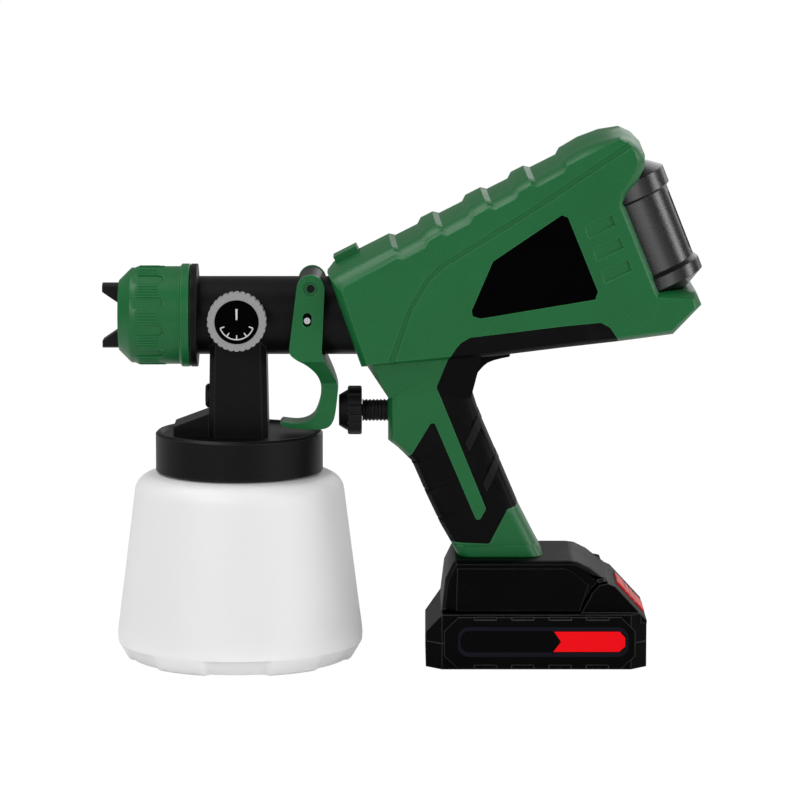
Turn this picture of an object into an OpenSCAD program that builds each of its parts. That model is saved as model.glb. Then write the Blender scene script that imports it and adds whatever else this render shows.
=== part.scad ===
// Cordless paint sprayer: a turbine spray gun with a paint cup hung under its
// barrel and a sliding battery pack under its grip. Millimetres, Z up, standing
// on Z = 0. The nozzle points to -X, the grip and battery are at +X.

/* [Paint cup] */
// Widest outer radius of the cup
cup_r = 61.5; // [56:0.5:66]
// Height of the cup's shoulder above the floor
cup_h = 94.2; // [85:0.1:105]
// Outer radius of the cup just under its shoulder
cup_shoulder_r = 52.5; // [50:0.5:54]
// Wall thickness of the cup
cup_wall = 1.8; // [1.4:0.1:2.4]
// Outer radius of the cup's threaded mouth
mouth_r = 37; // [34:0.5:38]
// Number of recessed panels around the cup's foot
panel_count = 6; // [4:1:8]

/* [Lid and neck] */
// Wall of the lid's skirt around the cup's mouth
lid_wall = 4.3; // [3.5:0.1:5]
// Height of the lid
lid_h = 20; // [18:0.5:24]
// Height from the lid's top to the barrel's axis
neck_h = 58; // [52:0.5:64]
// Length of the neck's foot, nozzle to grip
neck_l = 29.5; // [27:0.5:33]
// Width of the neck across the gun
neck_w = 32; // [28:0.5:36]

/* [Barrel and nozzle] */
// Outer radius of the barrel
barrel_r = 19.5; // [18.8:0.1:20.2]
// Wall thickness of the barrel
barrel_wall = 4; // [3.4:0.1:4.4]
// Distance from the cup's axis forward to the barrel's flange
barrel_front = 20.3; // [18:0.1:24]
// Length of the union nut
nut_l = 35.7; // [33:0.1:39]
// Outer radius of the union nut
nut_r = 24.4; // [23.8:0.1:25]
// Distance the air horns stand out of the nut
horn_l = 8.2; // [6:0.1:10]
// Number of finger flutes around the union nut
flute_count = 11; // [8:1:14]
// Radius of the paint needle
needle_r = 1.5; // [1.2:0.1:1.8]
// Outer radius of the pattern dial
dial_r = 14.6; // [13:0.1:15.6]

/* [Trigger] */
// Height of the trigger's pivot above the barrel's axis
pivot_up = 15.7; // [14.5:0.1:17]
// Thickness of each trigger ear
ear_t = 3.6; // [3:0.1:4.4]
// Half the width of the finger part
finger_half_w = 9.5; // [8.5:0.5:12]

/* [Body] */
// Half the width of the body
body_half_w = 35; // [34.5:0.1:38]
// Wall thickness of the housing halves
wall = 3.2; // [2.8:0.1:3.4]
// Thickness of the soft grip pads
pad_t = 1.6; // [1:0.1:1.8]
// Depth of the recesses between the ribs on the top
recess_depth = 2.1; // [1:0.1:2.4]
// Fall of the roof from its middle to its rounded edge
crown_h = 2.8; // [1.8:0.1:3.2]
// Width of the roof's rounded edge on each side
roof_edge_w = 11.5; // [10:0.5:13]

/* [Turbine] */
// Outer radius of the fan casing
casing_r = 28; // [26:0.5:29]
// Radius of the motor can
motor_r = 17.5; // [15:0.5:18.5]
// Number of vanes on the impeller
vane_count = 9; // [6:1:12]

/* [Grip] */
// Half the width of the grip
grip_half_w = 19.5; // [18.5:0.1:22]
// Radius of the flow adjusting wheel
wheel_r = 12.2; // [11:0.1:13]
// Radius of the plunger's threaded stem
stem_r = 5.5; // [5:0.1:6]

/* [Battery] */
// Length of the battery pack
battery_l = 109.7; // [108:0.1:116]
// Half the width of the battery pack
battery_half_w = 37; // [36.5:0.1:40]
// Height of the battery case
battery_h = 27.5; // [26:0.1:30]
// Height of the battery foot under the grip
foot_h = 26; // [24:0.1:29]

/* [Hidden] */
$fn = 64;
// gap between pieces that move past each other
move_gap = 0.3;
// radial gap of a shaft in its hole
run_gap = 0.05;
// gap between pieces that sit in one another
seat_gap = 0.1;
// reach of a cutter past the surface it opens
past = 1;
// reach of a cutter or keeper across the whole gun
far = 60;

green = [0.09, 0.38, 0.21];
black = [0.07, 0.07, 0.08];
soft_black = [0.05, 0.05, 0.055];
grey = [0.45, 0.46, 0.47];
steel = [0.70, 0.71, 0.73];
brass = [0.75, 0.60, 0.28];
milky = [0.86, 0.87, 0.86];
red = [0.75, 0.10, 0.09];
copper = [0.72, 0.42, 0.24];
board_green = [0.08, 0.30, 0.16];
foam = [0.18, 0.18, 0.19];
seal_grey = [0.25, 0.25, 0.26];

// Cup, lid and neck, from the floor up
cup_x = -81.5;
lid_z = cup_h + move_gap;
lid_top = lid_z + lid_h;
axis_z = lid_top + neck_h;
lid_bore = mouth_r + move_gap;
lid_r = lid_bore + lid_wall + 0.2;
lid_rim = 1.5;
lid_plate = 3.2;
plate_top = lid_top - lid_rim;
plate_low = plate_top - lid_plate;
gasket_t = 1.2;
mouth_top = plate_low - gasket_t - move_gap;
foot_r = cup_r - 7.5;
foot_ring = 3;
floor_low = 1.5;
floor_t = 1.8;
bevel_h = 8.5;
panel_span = 30;

// Barrel, from the nozzle back
flange_t = 3.2;
flange_r = nut_r + 1.3;
barrel_bore = barrel_r - barrel_wall;
flange_x = cup_x - barrel_front;
nut_back = flange_x - flange_t - move_gap;
nut_front = nut_back - nut_l;
flute_half_w = 3.2;
flute_turn = 11.7;
spigot_r = nut_r - 3.9;
nut_bore = spigot_r + run_gap;
spigot_front = nut_front + 13.3;
barrel_end = cup_x + 86.5;
pivot_x = cup_x + 36.3;
pivot_z = axis_z + pivot_up;
pivot_boss_r = 6.4;
pivot_pin_r = 2;
pin_x = pivot_x - 1.7;
cross_pin_r = 1.6;
needle_travel = 2.2;
ear_inner = barrel_r + 0.8;
ear_outer = ear_inner + ear_t;
boss_half_w = ear_inner - move_gap;
neck_bore = 9;
tube_r = 6;
fluid_r = 7.5;
fluid_bore = 3.2;
cap_r = nut_bore - move_gap;
cap_mouth = 16.5;
cap_front = nut_front + 0.4;
cap_back = spigot_front - move_gap;
horn_tip = nut_front - horn_l;
horn_r = cap_mouth - 0.2;
dial_boss_r = 12;
dial_boss_y = barrel_r + 2.6;
dial_back = dial_boss_y + move_gap;
dial_front = dial_back + 7.6;
face_r = dial_r - 3.7;
face_t = 1.4;
spindle_r = 3;

// Body, measured from the front face at the barrel's axis
body_x = cup_x + 52;
edge = 9;
top_angle = 26.86;
cavity_half_w = body_half_w - wall;
turbine_x = body_x + 113.5;
turbine_z = axis_z + 27;
turbine_tilt = 20.5;
shaft_r = 2.5;
rear_x = body_x + 146.9;
rear_z = axis_z + 38.4;
rear_tilt = 21.6;
cover_r = 30;
cover_flange = 31.7;
cover_axis = -7.2;
cover_cut = -4;
cover_wall = 2.2;
button_x = body_x + 2;
button_z = axis_z + 30.55;
button_half_l = 6.3;
button_half_w = 8;
button_proud = 2.5;
button_deep = 5;
button_travel = 2;
screw_r = 1.5;
screw_head_r = 3;
screw_boss_r = 3.8;
badge_t = 1.2;
groove_t = 0.8;
wedge_t = 1.3;
pad_corner_r = 1.6;

// Grip, plunger and battery
battery_x = body_x + 41.2;
foot_top = battery_h + foot_h;
grip_stretch = (axis_z - foot_top) / 119;
grip_inner = grip_half_w - wall;
knob_z = axis_z - 47.8;
grip_face = body_x + 22.4;
wheel_front = body_x - 2.1;
nose_l = 4.4;
wheel_back = wheel_front + 11.4;
stem_front = wheel_back + move_gap;
spigot_stem_r = 3;
bush_x = grip_face + wall + 2 * seat_gap;
bush_t = 4;
collar_x = bush_x + bush_t + move_gap;
collar_t = 2.5;
rod_end = collar_x + 10;
switch_x = collar_x + 19;
switch_l = 11.5;
switch_half_w = grip_inner - 4.8;
foot_half_w = battery_half_w - 4;
tongue_half_w = battery_half_w - 12;
tongue_neck = battery_half_w - 15.5;
tongue_low = 8;
tongue_top = 14.5;
tongue_x = battery_x + 12.3;
slide_gap = 0.4;
case_wall = 2.2;
post_r = 2.4;
post_inset = case_wall + post_r - 0.5;
post_bore = 6;
case_split = 13;
case_chamfer = 8;
slope_l = 8;
slope_h = 10;
cell_r = 9.2;
cell_pitch = (battery_l - 33.7) / 4;
cell_half_l = battery_half_w - 4.6;
cell_z = 12.2;
plate_t = 1.5;
press_x = battery_x + battery_l - 7.6;
press_z = battery_h + 4.6;
press_angle = 42;
press_half_w = 13;
press_half_l = 10;
press_travel = 3;

// Points on a circle from one angle to another
function arc(c, r, a0, a1, n) =
    [for (i = [0 : n]) let (a = a0 + (a1 - a0) * i / n) c + r * [cos(a), sin(a)]];

function unit(v) = v / norm(v);
function turned(v) = [-v[1], v[0]];

// An anticlockwise outline drawn in by an amount at each point
function inset(p, d) =
    let (n = len(p))
    [for (i = [0 : n - 1])
        let (a = turned(unit(p[i] - p[(i + n - 1) % n])))
        let (b = turned(unit(p[(i + 1) % n] - p[i])))
        p[i] + d[i] * (a + b) / (1 + a * b)];

function even(p, d) = [for (q = p) d];

// A smooth run through the given points
function curve(p, n) =
    let (last = len(p) - 1)
    concat([for (i = [0 : last - 1]) for (k = [0 : n - 1])
        let (t = k / n)
        let (a = p[max(i - 1, 0)])
        let (b = p[i])
        let (c = p[i + 1])
        let (d = p[min(i + 2, last)])
        0.5 * (2 * b + (c - a) * t + (2 * a - 5 * b + 4 * c - d) * t * t
            + (3 * b - a - 3 * c + d) * t * t * t)], [p[last]]);

// Rings of one half of a slab, from the middle plane out to a rounded edge
function slab_rings(p, d, w, e) =
    concat([[for (q = p) [q[0], 0, q[1]]]],
        [for (t = [0, 30, 60, 90])
            let (s = inset(p, d * (1 - cos(t))))
            [for (q = s) [q[0], e - w - e * sin(t), q[1]]]]);

function from_body(p) = [for (q = p) [body_x + q[0], axis_z + q[1]]];
function from_grip(p) =
    [for (q = p) [body_x + q[0], foot_top + grip_stretch * q[1]]];
function from_battery(p) = [for (q = p) [battery_x + q[0], battery_h + q[1]]];

// Side outline of the body in its middle, anticlockwise from its lower front corner
body_outline = from_body(concat(
    [[9.2, -22.6], [74.7, -17.4], [108.3, -13.2], [137, -9.9], [163, -6.4]],
    [[177, 8.4], [174.4, 14.4], [156.4, 15.6], [138.7, 59.1], [140, 62.4]],
    [[145.5, 69.5], [149, 76], [149.4, 81], [147, 87], [142.5, 91.6]],
    [[137, 94.2], [126.7, 92.6], [116.3, 88.7], [107.4, 83.4], [-4.9, 26.4]],
    [[-7.8, 22.1]]));
// The same points on the flat side, inside the rounded edge
body_side = from_body(concat(
    [[12.2, -20.4], [74.5, -14.2], [108, -10], [136.8, -6.8], [161.6, -3.4]],
    [[173.2, 7.6], [172.2, 11.6], [154.2, 12.8], [135.7, 58.4], [136.9, 63.9]],
    [[141.6, 71.6], [144.2, 76.4], [144.6, 80], [142.9, 84.8], [139.6, 88.6]],
    [[135.6, 90.8], [128.2, 87.2], [119.6, 82.6], [110.4, 77.8], [0.9, 18.1]],
    [[-0.1, 15.2]]));
// Share of the roof's fall at each of these points
crown_share = concat([0, 0, 0, 0, 0], [0, 0, 0, 0, 0], [0, 0.15, 0.3, 0.5, 0.7], [0.9, 1, 1, 1, 1],
    [0.4]);
crown_steps = [0, 0.4, 0.75, 1];
// Steps over the rounded edge: share of its width and share of its drop
roof_steps = [[0.2, 0.035], [0.38, 0.117], [0.55, 0.25], [0.71, 0.445], [0.86, 0.695], [1, 1]];

function at_side(p, y) = [for (q = p) [q[0], y, q[1]]];

// Rings of the body's left half: the crowned middle, then the rounded edge
function body_rings(shrink) =
    let (p = inset(body_outline, even(body_outline, shrink)))
    let (w = body_half_w - shrink)
    let (fall = inset(body_outline, crown_h * crown_share) - body_outline)
    let (rest = body_side - body_outline - fall)
    concat([for (k = crown_steps) at_side(p + k * k * fall, -k * (w - roof_edge_w))],
        [for (k = roof_steps) at_side(p + fall + k[1] * rest, roof_edge_w * (1 - k[0]) - w)]);

// Side outline of the grip, anticlockwise from its lower front corner
grip_outline = from_grip(concat(
    [[57.5, 0], [99.4, 0], [88.2, 22], [75.7, 51.4], [69.8, 65]],
    [[67.2, 71.6], [64.8, 79], [63.6, 86], [64.6, 92.6], [67.4, 98]],
    [[73, 106], [16, 103], [10.8, 97.2], [22.4, 87.8], [22.4, 57.8]],
    [[27.5, 53.8], [33.4, 48], [35, 45.5], [41.6, 30.3], [48.3, 16]],
    [[55, 4.2]]));
grip_edge = concat([5, 6, 6, 6, 6], [6, 6, 6, 5, 4], [0, 0, 3, 4, 5], [5, 5, 5, 5, 5], [5]);

// Area of the soft pad: both sides of the grip and the strip under the body
pad_outline = from_grip(concat(
    [[46.4, 85.6], [71.2, 24.2], [67.1, 16.7], [44.8, 69.2], [34.1, 51.4]],
    [[24, 45], [48, 0.8], [54.2, 7.4], [72.9, 6.6], [81.9, 24.2]],
    [[87.7, 25.6], [102, 26.4], [78, 78], [75, 92], [110, 98]],
    [[145, 101.5], [137, 105.8], [135.2, 111.5], [131.5, 117], [126.8, 119.4]],
    [[107.1, 117.4], [63, 112], [58.5, 109.5], [55.7, 106.2], [52, 100.5]]));

badge_outline = from_body(concat(
    [[64, 3.6], [68, 2.4], [124.2, 11.8], [125.5, 15.6]],
    [[110.6, 52.2], [107.6, 53.4], [74, 30.6], [63.6, 6.4]]));

foot_outline = from_battery(concat(
    [[7.6, slide_gap], [76.5, slide_gap], [82.4, 10.9], [85.4, 14.2], [89.8, 15.1]],
    [[90.6, 15.6], [87.6, foot_h - 8.4], [81.6, foot_h - 3.6], [75.4, foot_h - 0.5], [71.5, foot_h]],
    [[14.6, foot_h], [13.2, foot_h - 1.6], [9.6, foot_h - 9]]));

// Solid through rings with the same number of points
module tube_through(rings) {
    n = len(rings[0]);
    m = len(rings);
    polyhedron(points = [for (r = rings) each r], faces = concat(
        [[for (i = [0 : n - 1]) i]],
        [[for (i = [n - 1 : -1 : 0]) (m - 1) * n + i]],
        [for (k = [0 : m - 2]) for (i = [0 : n - 1])
            [k * n + i, (k + 1) * n + i, (k + 1) * n + (i + 1) % n]],
        [for (k = [0 : m - 2]) for (i = [0 : n - 1])
            [k * n + i, (k + 1) * n + (i + 1) % n, k * n + (i + 1) % n]]));
}

// The same with end rings that bend inwards, joined as a whole
module loft(rings) {
    minkowski()
        tube_through(rings);
}

// A side outline between two distances across the gun
module side_plate(points, y0, y1) {
    translate([0, y1, 0])
        rotate([90, 0, 0])
            linear_extrude(height = y1 - y0)
                polygon(points);
}

// A profile of [radius, x] points turned about the barrel's axis
module turned_x(profile, z = axis_z) {
    translate([0, 0, z])
        rotate([0, 90, 0])
            rotate_extrude()
                polygon(profile);
}

// A round bar along X
module bar_x(r, x0, x1, z = axis_z) {
    translate([x0, 0, z])
        rotate([0, 90, 0])
            cylinder(r = r, h = x1 - x0);
}

// A round bar along Y at a point of the side view
module bar_y(r, x, z, y0, y1) {
    translate([x, y1, z])
        rotate([90, 0, 0])
            cylinder(r = r, h = y1 - y0);
}

// A wound spring along Z
module coil(r, wire, h, turns) {
    sides = 6;
    steps = 8 * turns;
    climb = h - 2 * wire;
    rings = [for (k = [0 : steps])
        let (a = 360 * k / 8)
        let (c = [r * cos(a), r * sin(a), wire + climb * k / steps])
        [for (j = [0 : sides - 1])
            let (b = 360 * j / sides)
            c + wire * [cos(b) * cos(a), cos(b) * sin(a), sin(b)]]];
    tube_through(rings);
}

module turbine_frame() {
    translate([turbine_x, 0, turbine_z])
        rotate([0, 90 - turbine_tilt, 0])
            children();
}

module rear_frame() {
    translate([rear_x, 0, rear_z])
        rotate([0, -rear_tilt, 0])
            children();
}

module button_frame() {
    translate([button_x, 0, button_z])
        rotate([0, -top_angle, 0])
            children();
}

module press_frame() {
    translate([press_x, 0, press_z])
        rotate([0, -press_angle, 0])
            children();
}

// Left half of the gun's outside, drawn in by an amount all over
module body_half(shrink) {
    loft(body_rings(shrink));
}

module grip_half(shrink) {
    loft(slab_rings(inset(grip_outline, even(grip_outline, shrink)), grip_edge,
        grip_half_w - shrink, edge));
}

// Sloping shoulder between the wide body and the narrow grip
module shoulder_half(shrink) {
    low = from_grip([[22.6, 80], [63.6, 80], [66.6, 98], [11, 97.6]]);
    high = from_grip([[14.4, 99.4], [69, 103], [69, 104.9], [14, 100.4]]);
    a = inset(low, even(low, shrink));
    b = [for (q = high) q + [0, shrink]];
    loft([[for (q = a) [q[0], 0, q[1]]],
        [for (q = a) [q[0], shrink - grip_half_w, q[1]]],
        [for (q = b) [q[0], shrink - body_half_w + 4, q[1]]]]);
}

module outside_half(shrink) {
    body_half(shrink);
    grip_half(shrink);
    shoulder_half(shrink);
}

// Cut across the roof at a place along its slope, down to a depth under the roof
function roof_cut(place, deep) =
    let (low = roof_drop(body_side[19]))
    let (high = roof_drop(body_side[18]))
    let (drop = low[1] + (high[1] - low[1]) * (place - low[0]) / (high[0] - low[0]))
    let (w = body_half_w)
    concat([[place, past, -deep]],
        [for (k = crown_steps) [place, -k * (w - roof_edge_w), -crown_h * k * k - deep]],
        [for (k = roof_steps)
            [place, roof_edge_w * (1 - k[0]) - w, -crown_h - (drop - crown_h) * k[1] - deep]],
        [[place, -w - past, -drop - deep], [place, -w - past, edge], [place, past, edge]]);

// Place of a point along the roof's slope and its distance under the roof
function roof_drop(q) =
    let (v = q - body_outline[19])
    let (along = unit(body_outline[18] - body_outline[19]))
    [v * along, -(v * turned(along))];

// Recesses with sloping ends that leave the ribs standing on the body's top
module top_recesses() {
    floors = [[33.5, 45.7], [57.9, 70.6], [84.6, 96], [108.5, 122.6]];
    rise = [2.5, 2.9] * (recess_depth + past) / recess_depth;
    translate([body_outline[19][0], 0, body_outline[19][1]])
        rotate([0, -top_angle, 0])
            for (f = floors)
                loft([roof_cut(f[1] + rise[1], -past), roof_cut(f[1], recess_depth),
                    roof_cut(f[0], recess_depth), roof_cut(f[0] - rise[0], -past)]);
}

// The pads' area with its corners rounded, between the outside and a distance across the gun
module pad_area(y1) {
    translate([0, y1, 0])
        rotate([90, 0, 0])
            linear_extrude(height = y1 + far)
                offset(r = pad_corner_r)
                    offset(r = -2 * pad_corner_r)
                        offset(r = pad_corner_r)
                            polygon(pad_outline);
}

module pad_recess() {
    difference() {
        pad_area(past);
        outside_half(pad_t);
    }
}

screw_points = from_body([[24, 24], [131.5, 77.5], [162, 4], [120, -4.8]]);
grip_screw_points = from_grip([[55.5, 46.5], [72.5, 11.5]]);

// Rib plates that carry the motor's mount and the fan casing
module cradle_half() {
    intersection() {
        body_half(wall - seat_gap);
        turbine_frame()
            for (s = [-10.5, 12, 25])
                difference() {
                    translate([-far, -far, s])
                        cube([2 * far, far, 3]);
                    translate([0, 0, s - past])
                        cylinder(r = (casing_r + run_gap) / cos(180 / $fn), h = 3 + 2 * past);
                }
    }
}

module screw_bosses() {
    for (q = screw_points)
        bar_y(screw_boss_r, q[0], q[1], -cavity_half_w - seat_gap, 0);
    for (q = grip_screw_points)
        bar_y(screw_boss_r, q[0], q[1], -grip_inner - seat_gap, 0);
}

// Holes along the screws, their flats clear of the screws all round
module screw_holes(bore) {
    for (q = screw_points)
        bar_y(bore / cos(180 / $fn), q[0], q[1], -cavity_half_w - past, past);
    for (q = grip_screw_points)
        bar_y(bore / cos(180 / $fn), q[0], q[1], -grip_inner - past, past);
}

// Everything that opens through a housing half from outside
module housing_openings() {
    bar_x(barrel_r + move_gap, pivot_x, barrel_end + past);
    bar_x(stem_r + move_gap, grip_face - far, bush_x + past, knob_z);
    rear_frame()
        cover_outline(move_gap);
    button_frame()
        translate([-button_half_l - move_gap, -button_half_w - move_gap, -button_deep - button_travel - past])
            cube([2 * (button_half_l + move_gap), 2 * (button_half_w + move_gap), far]);
    side_plate(badge_outline, -body_half_w - past, badge_t - body_half_w);
    side_details();
}

// Shallow lines in the body's side: a waist groove and three wedges that deepen to the rear
module side_details() {
    low_edge = [[22.5, -19], [26, -19], [34.5, 6.5], [43, 20.5], [50, 27.2], [89, 51.5],
        [106, 62.7], [142, 87]];
    high_edge = [[142, 90.8], [104.4, 65.2], [87.5, 53.9], [48.4, 29.4], [40.8, 22], [32.2, 7.5]];
    side_plate(from_body(concat(low_edge, high_edge)), -body_half_w - past, groove_t - body_half_w);
    wedge = [[118.6, 48.5], [120.7, 41.9], [134, 48.5], [132.2, 53.3]];
    depth = [0, 0.3, 1, 0.8] * wedge_t;
    for (i = [0 : 2]) {
        p = from_body([for (q = wedge) q + i * [4.1, -11.1]]);
        loft([[for (k = [0 : 3]) [p[k][0], depth[k] - body_half_w, p[k][1]]],
            at_side(p, -body_half_w - past)]);
    }
}

module button_pocket() {
    intersection() {
        body_half(seat_gap);
        button_frame()
            translate([-button_half_l - 2, -button_half_w - 2, -button_deep - button_travel - 2.5])
                cube([2 * button_half_l + 4, button_half_w + 2, button_deep + button_travel + 1]);
    }
}

module housing_half(bore) {
    $fn = 32;
    difference() {
        union() {
            difference() {
                outside_half(0);
                top_recesses();
                pad_recess();
                body_half(wall);
                grip_half(wall);
                shoulder_half(wall);
            }
            cradle_half();
            screw_bosses();
            button_pocket();
        }
        screw_holes(bore);
        housing_openings();
    }
}

module pad_half() {
    intersection() {
        pad_area(0);
        difference() {
            outside_half(0);
            outside_half(pad_t);
        }
    }
}

module screw_clearance() {
    for (q = screw_points)
        bar_y(screw_head_r + seat_gap, q[0], q[1], cavity_half_w, body_half_w + past);
    for (q = grip_screw_points)
        bar_y(screw_head_r + seat_gap, q[0], q[1], grip_inner, grip_half_w + past);
}

module left_housing() {
    color(green)
        housing_half(screw_r + run_gap);
}

module right_housing() {
    $fn = 32;
    color(green)
        difference() {
            mirror([0, 1, 0])
                housing_half(screw_r + seat_gap);
            screw_clearance();
        }
}

module left_grip_pad() {
    color(soft_black)
        pad_half();
}

module right_grip_pad() {
    color(soft_black)
        difference() {
            mirror([0, 1, 0])
                pad_half();
            screw_clearance();
        }
}

module left_badge() {
    color(black)
        side_plate(badge_outline, -body_half_w, badge_t - body_half_w);
}

module right_badge() {
    color(black)
        side_plate(badge_outline, body_half_w - badge_t, body_half_w);
}

module screw(q, w) {
    difference() {
        union() {
            bar_y(screw_head_r, q[0], q[1], w, w + 2.2);
            bar_y(screw_r, q[0], q[1], -w + past, w);
        }
        translate([q[0], w + 2.2 + past, q[1]])
            rotate([90, 0, 0])
                cylinder(r = 1.5, h = 1.4 + past, $fn = 6);
    }
}

module housing_screws() {
    color(steel) {
        for (q = screw_points)
            screw(q, cavity_half_w);
        for (q = grip_screw_points)
            screw(q, grip_inner);
    }
}

// The rear air cover's outside, larger by a gap
module cover_outline(grow) {
    intersection() {
        translate([cover_axis, 0, 0])
            rotate_extrude()
                polygon([[0, -29.7 - grow], [22.3 + grow, -29.7 - grow], [cover_flange + grow, -24.4],
                    [cover_flange + grow, -18.5], [cover_r + grow, -16.4], [cover_r + grow, 20.3],
                    [cover_flange + grow, 21.5], [cover_flange + grow, 30.1], [23.5 + grow, 36.2 + grow],
                    [0, 36.2 + grow]]);
        translate([cover_cut - grow, -far, -far])
            cube([far, 2 * far, 2 * far]);
    }
}

module cover_inside(gap) {
    translate([cover_axis, 0, 0])
        rotate_extrude()
            polygon([[0, -27 + gap], [20.5, -27 + gap], [cover_r - cover_wall - gap, -22.5],
                [cover_r - cover_wall - gap, 29], [22, 33.8 - gap], [0, 33.8 - gap]]);
}

module rear_cover() {
    slot_l = 30;
    color(black)
        rear_frame()
            difference() {
                cover_outline(0);
                cover_inside(0);
                for (a = [-12 : 6 : 12])
                    translate([cover_axis, 0, 2])
                        rotate([0, 0, a])
                            translate([cover_r - cover_wall - past, -1.2, -slot_l / 2])
                                cube([cover_wall + 2 * past, 2.4, slot_l]);
            }
}

module air_filter() {
    color(foam)
        rear_frame()
            intersection() {
                cover_inside(seat_gap);
                translate([cover_cut, -far, -far])
                    cube([10, 2 * far, 2 * far]);
            }
}

module fan_casing() {
    color(black)
        turbine_frame()
            rotate_extrude()
                polygon([[casing_r - 2, 1], [casing_r, 1], [casing_r, 30], [14, 30], [14, 28],
                    [casing_r - 2, 28]]);
}

module impeller() {
    hub_r = 6;
    disc_r = casing_r - 3;
    color(grey)
        turbine_frame()
            difference() {
                union() {
                    translate([0, 0, 9])
                        cylinder(r = hub_r, h = 14);
                    translate([0, 0, 9])
                        cylinder(r = disc_r, h = 1.6);
                    for (i = [0 : vane_count - 1])
                        rotate([0, 0, 360 * i / vane_count])
                            translate([hub_r - past, -0.6, 10])
                                cube([disc_r - hub_r, 1.2, 9]);
                }
                translate([0, 0, 9 - past])
                    cylinder(r = shaft_r + run_gap, h = 14 + 2 * past);
            }
}

module motor_shaft() {
    color(steel)
        turbine_frame()
            translate([0, 0, -43])
                cylinder(r = shaft_r, h = 65);
}

module motor_can() {
    color(steel)
        turbine_frame()
            rotate_extrude()
                polygon([[5.1, -42], [motor_r, -42], [motor_r, 0], [5.1, 0], [5.1, -2], [motor_r - 2, -2],
                    [motor_r - 2, -40], [5.1, -40]]);
}

module motor_winding() {
    color(copper)
        turbine_frame()
            difference() {
                translate([0, 0, -34])
                    cylinder(r = motor_r - 2 - run_gap, h = 26);
                translate([0, 0, -34 - past])
                    cylinder(r = motor_r - 7, h = 26 + 2 * past);
            }
}

module motor_magnet() {
    color(grey)
        turbine_frame()
            difference() {
                translate([0, 0, -33])
                    cylinder(r = motor_r - 7 - move_gap, h = 24);
                translate([0, 0, -33 - past])
                    cylinder(r = shaft_r + run_gap, h = 24 + 2 * past);
            }
}

module motor_bearings() {
    color(steel)
        turbine_frame()
            for (s = [-43, -3])
                translate([0, 0, s])
                    difference() {
                        cylinder(r = 5, h = 4);
                        translate([0, 0, -past])
                            cylinder(r = shaft_r + run_gap, h = 4 + 2 * past);
                    }
}

module motor_mount() {
    color(soft_black)
        turbine_frame()
            difference() {
                translate([0, 0, -12])
                    cylinder(r = casing_r, h = 6);
                translate([0, 0, -12 - past])
                    cylinder(r = motor_r + run_gap, h = 6 + 2 * past);
                for (i = [0 : 5])
                    rotate([0, 0, 60 * i])
                        translate([(casing_r + motor_r) / 2, 0, -12 - past])
                            cylinder(r = (casing_r - motor_r) / 2 - 1.8, h = 6 + 2 * past);
            }
}

// Tapering air duct from the motor's mount to the barrel's mouth
module duct_form(end_r, big_r, reach) {
    hull() {
        bar_x(end_r, barrel_end + move_gap - reach, barrel_end + 3 + reach);
        turbine_frame()
            translate([0, 0, -14])
                cylinder(r = big_r, h = 2 + reach);
    }
}

module air_duct() {
    color(black)
        difference() {
            duct_form(barrel_bore + 1.4, casing_r - 0.5, 0, $fn = 32);
            duct_form(barrel_bore, casing_r - 2.5, past, $fn = 32);
        }
}

module control_board() {
    color(board_green)
        translate([body_x + 63.5, 0, foot_top + grip_stretch * 29.5])
            rotate([0, -24, 0])
                translate([-0.8, -grip_inner + seat_gap, -10])
                    cube([1.6, 2 * (grip_inner - seat_gap), 20]);
}

module trigger_switch() {
    color(black) {
        translate([switch_x, -switch_half_w, knob_z - 10])
            cube([switch_l, 2 * switch_half_w, 18]);
        bar_x(2.2, switch_x - 1.4, switch_x + past, knob_z);
    }
}

module plunger_bush() {
    color(grey)
        difference() {
            bar_x(8.5, bush_x, bush_x + bush_t, knob_z);
            bar_x(stem_r + run_gap, bush_x - past, bush_x + bush_t + past, knob_z);
        }
}

module flow_stem() {
    crest = 0.5;
    pitch = 1.8;
    thread = [for (i = [0 : 6]) each [[stem_r, stem_front + pitch * i + 0.4],
        [stem_r - crest, stem_front + pitch * i + 0.8], [stem_r - crest, stem_front + pitch * i + 1.4],
        [stem_r, stem_front + pitch * i + 1.8]]];
    color(black)
        turned_x(concat([[0, stem_front - 9.5], [spigot_stem_r, stem_front - 9.5],
            [spigot_stem_r, stem_front], [stem_r, stem_front]], thread,
            [[stem_r, collar_x], [stem_r + 2, collar_x], [stem_r + 2, collar_x + collar_t],
            [2.5, collar_x + collar_t], [2.5, rod_end], [0, rod_end]]), knob_z);
}

module flow_wheel() {
    groove_count = 16;
    color(black)
        difference() {
            turned_x([[0, wheel_front], [wheel_r - 4.5, wheel_front], [wheel_r - 1.9, wheel_front + nose_l],
                [wheel_r - 0.6, wheel_front + nose_l], [wheel_r, wheel_front + nose_l + 0.6],
                [wheel_r, wheel_back - 0.6], [wheel_r - 0.6, wheel_back], [0, wheel_back]], knob_z);
            bar_x(spigot_stem_r + run_gap, stem_front - 9.8, wheel_back + past, knob_z);
            for (i = [0 : groove_count - 1])
                translate([0, 0, knob_z])
                    rotate([360 * i / groove_count, 0, 0])
                        bar_x(1, wheel_front + nose_l - past, wheel_back + past, wheel_r + 0.3);
        }
}

module plunger_spring() {
    color(steel)
        translate([collar_x + collar_t + seat_gap, 0, knob_z])
            rotate([0, 90, 0])
                coil(4.4, 0.6, switch_x - collar_x - collar_t - 2 * seat_gap, 6);
}

module head_release_button() {
    color(green)
        button_frame()
            translate([-button_half_l, -button_half_w, -button_deep])
                cube([2 * button_half_l, 2 * button_half_w, button_deep + button_proud]);
}

module release_spring() {
    color(steel)
        button_frame()
            translate([0, 0, -button_deep - button_travel - past + seat_gap])
                coil(3.6, 0.25, button_travel + past - 2 * seat_gap, 3);
}

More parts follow.
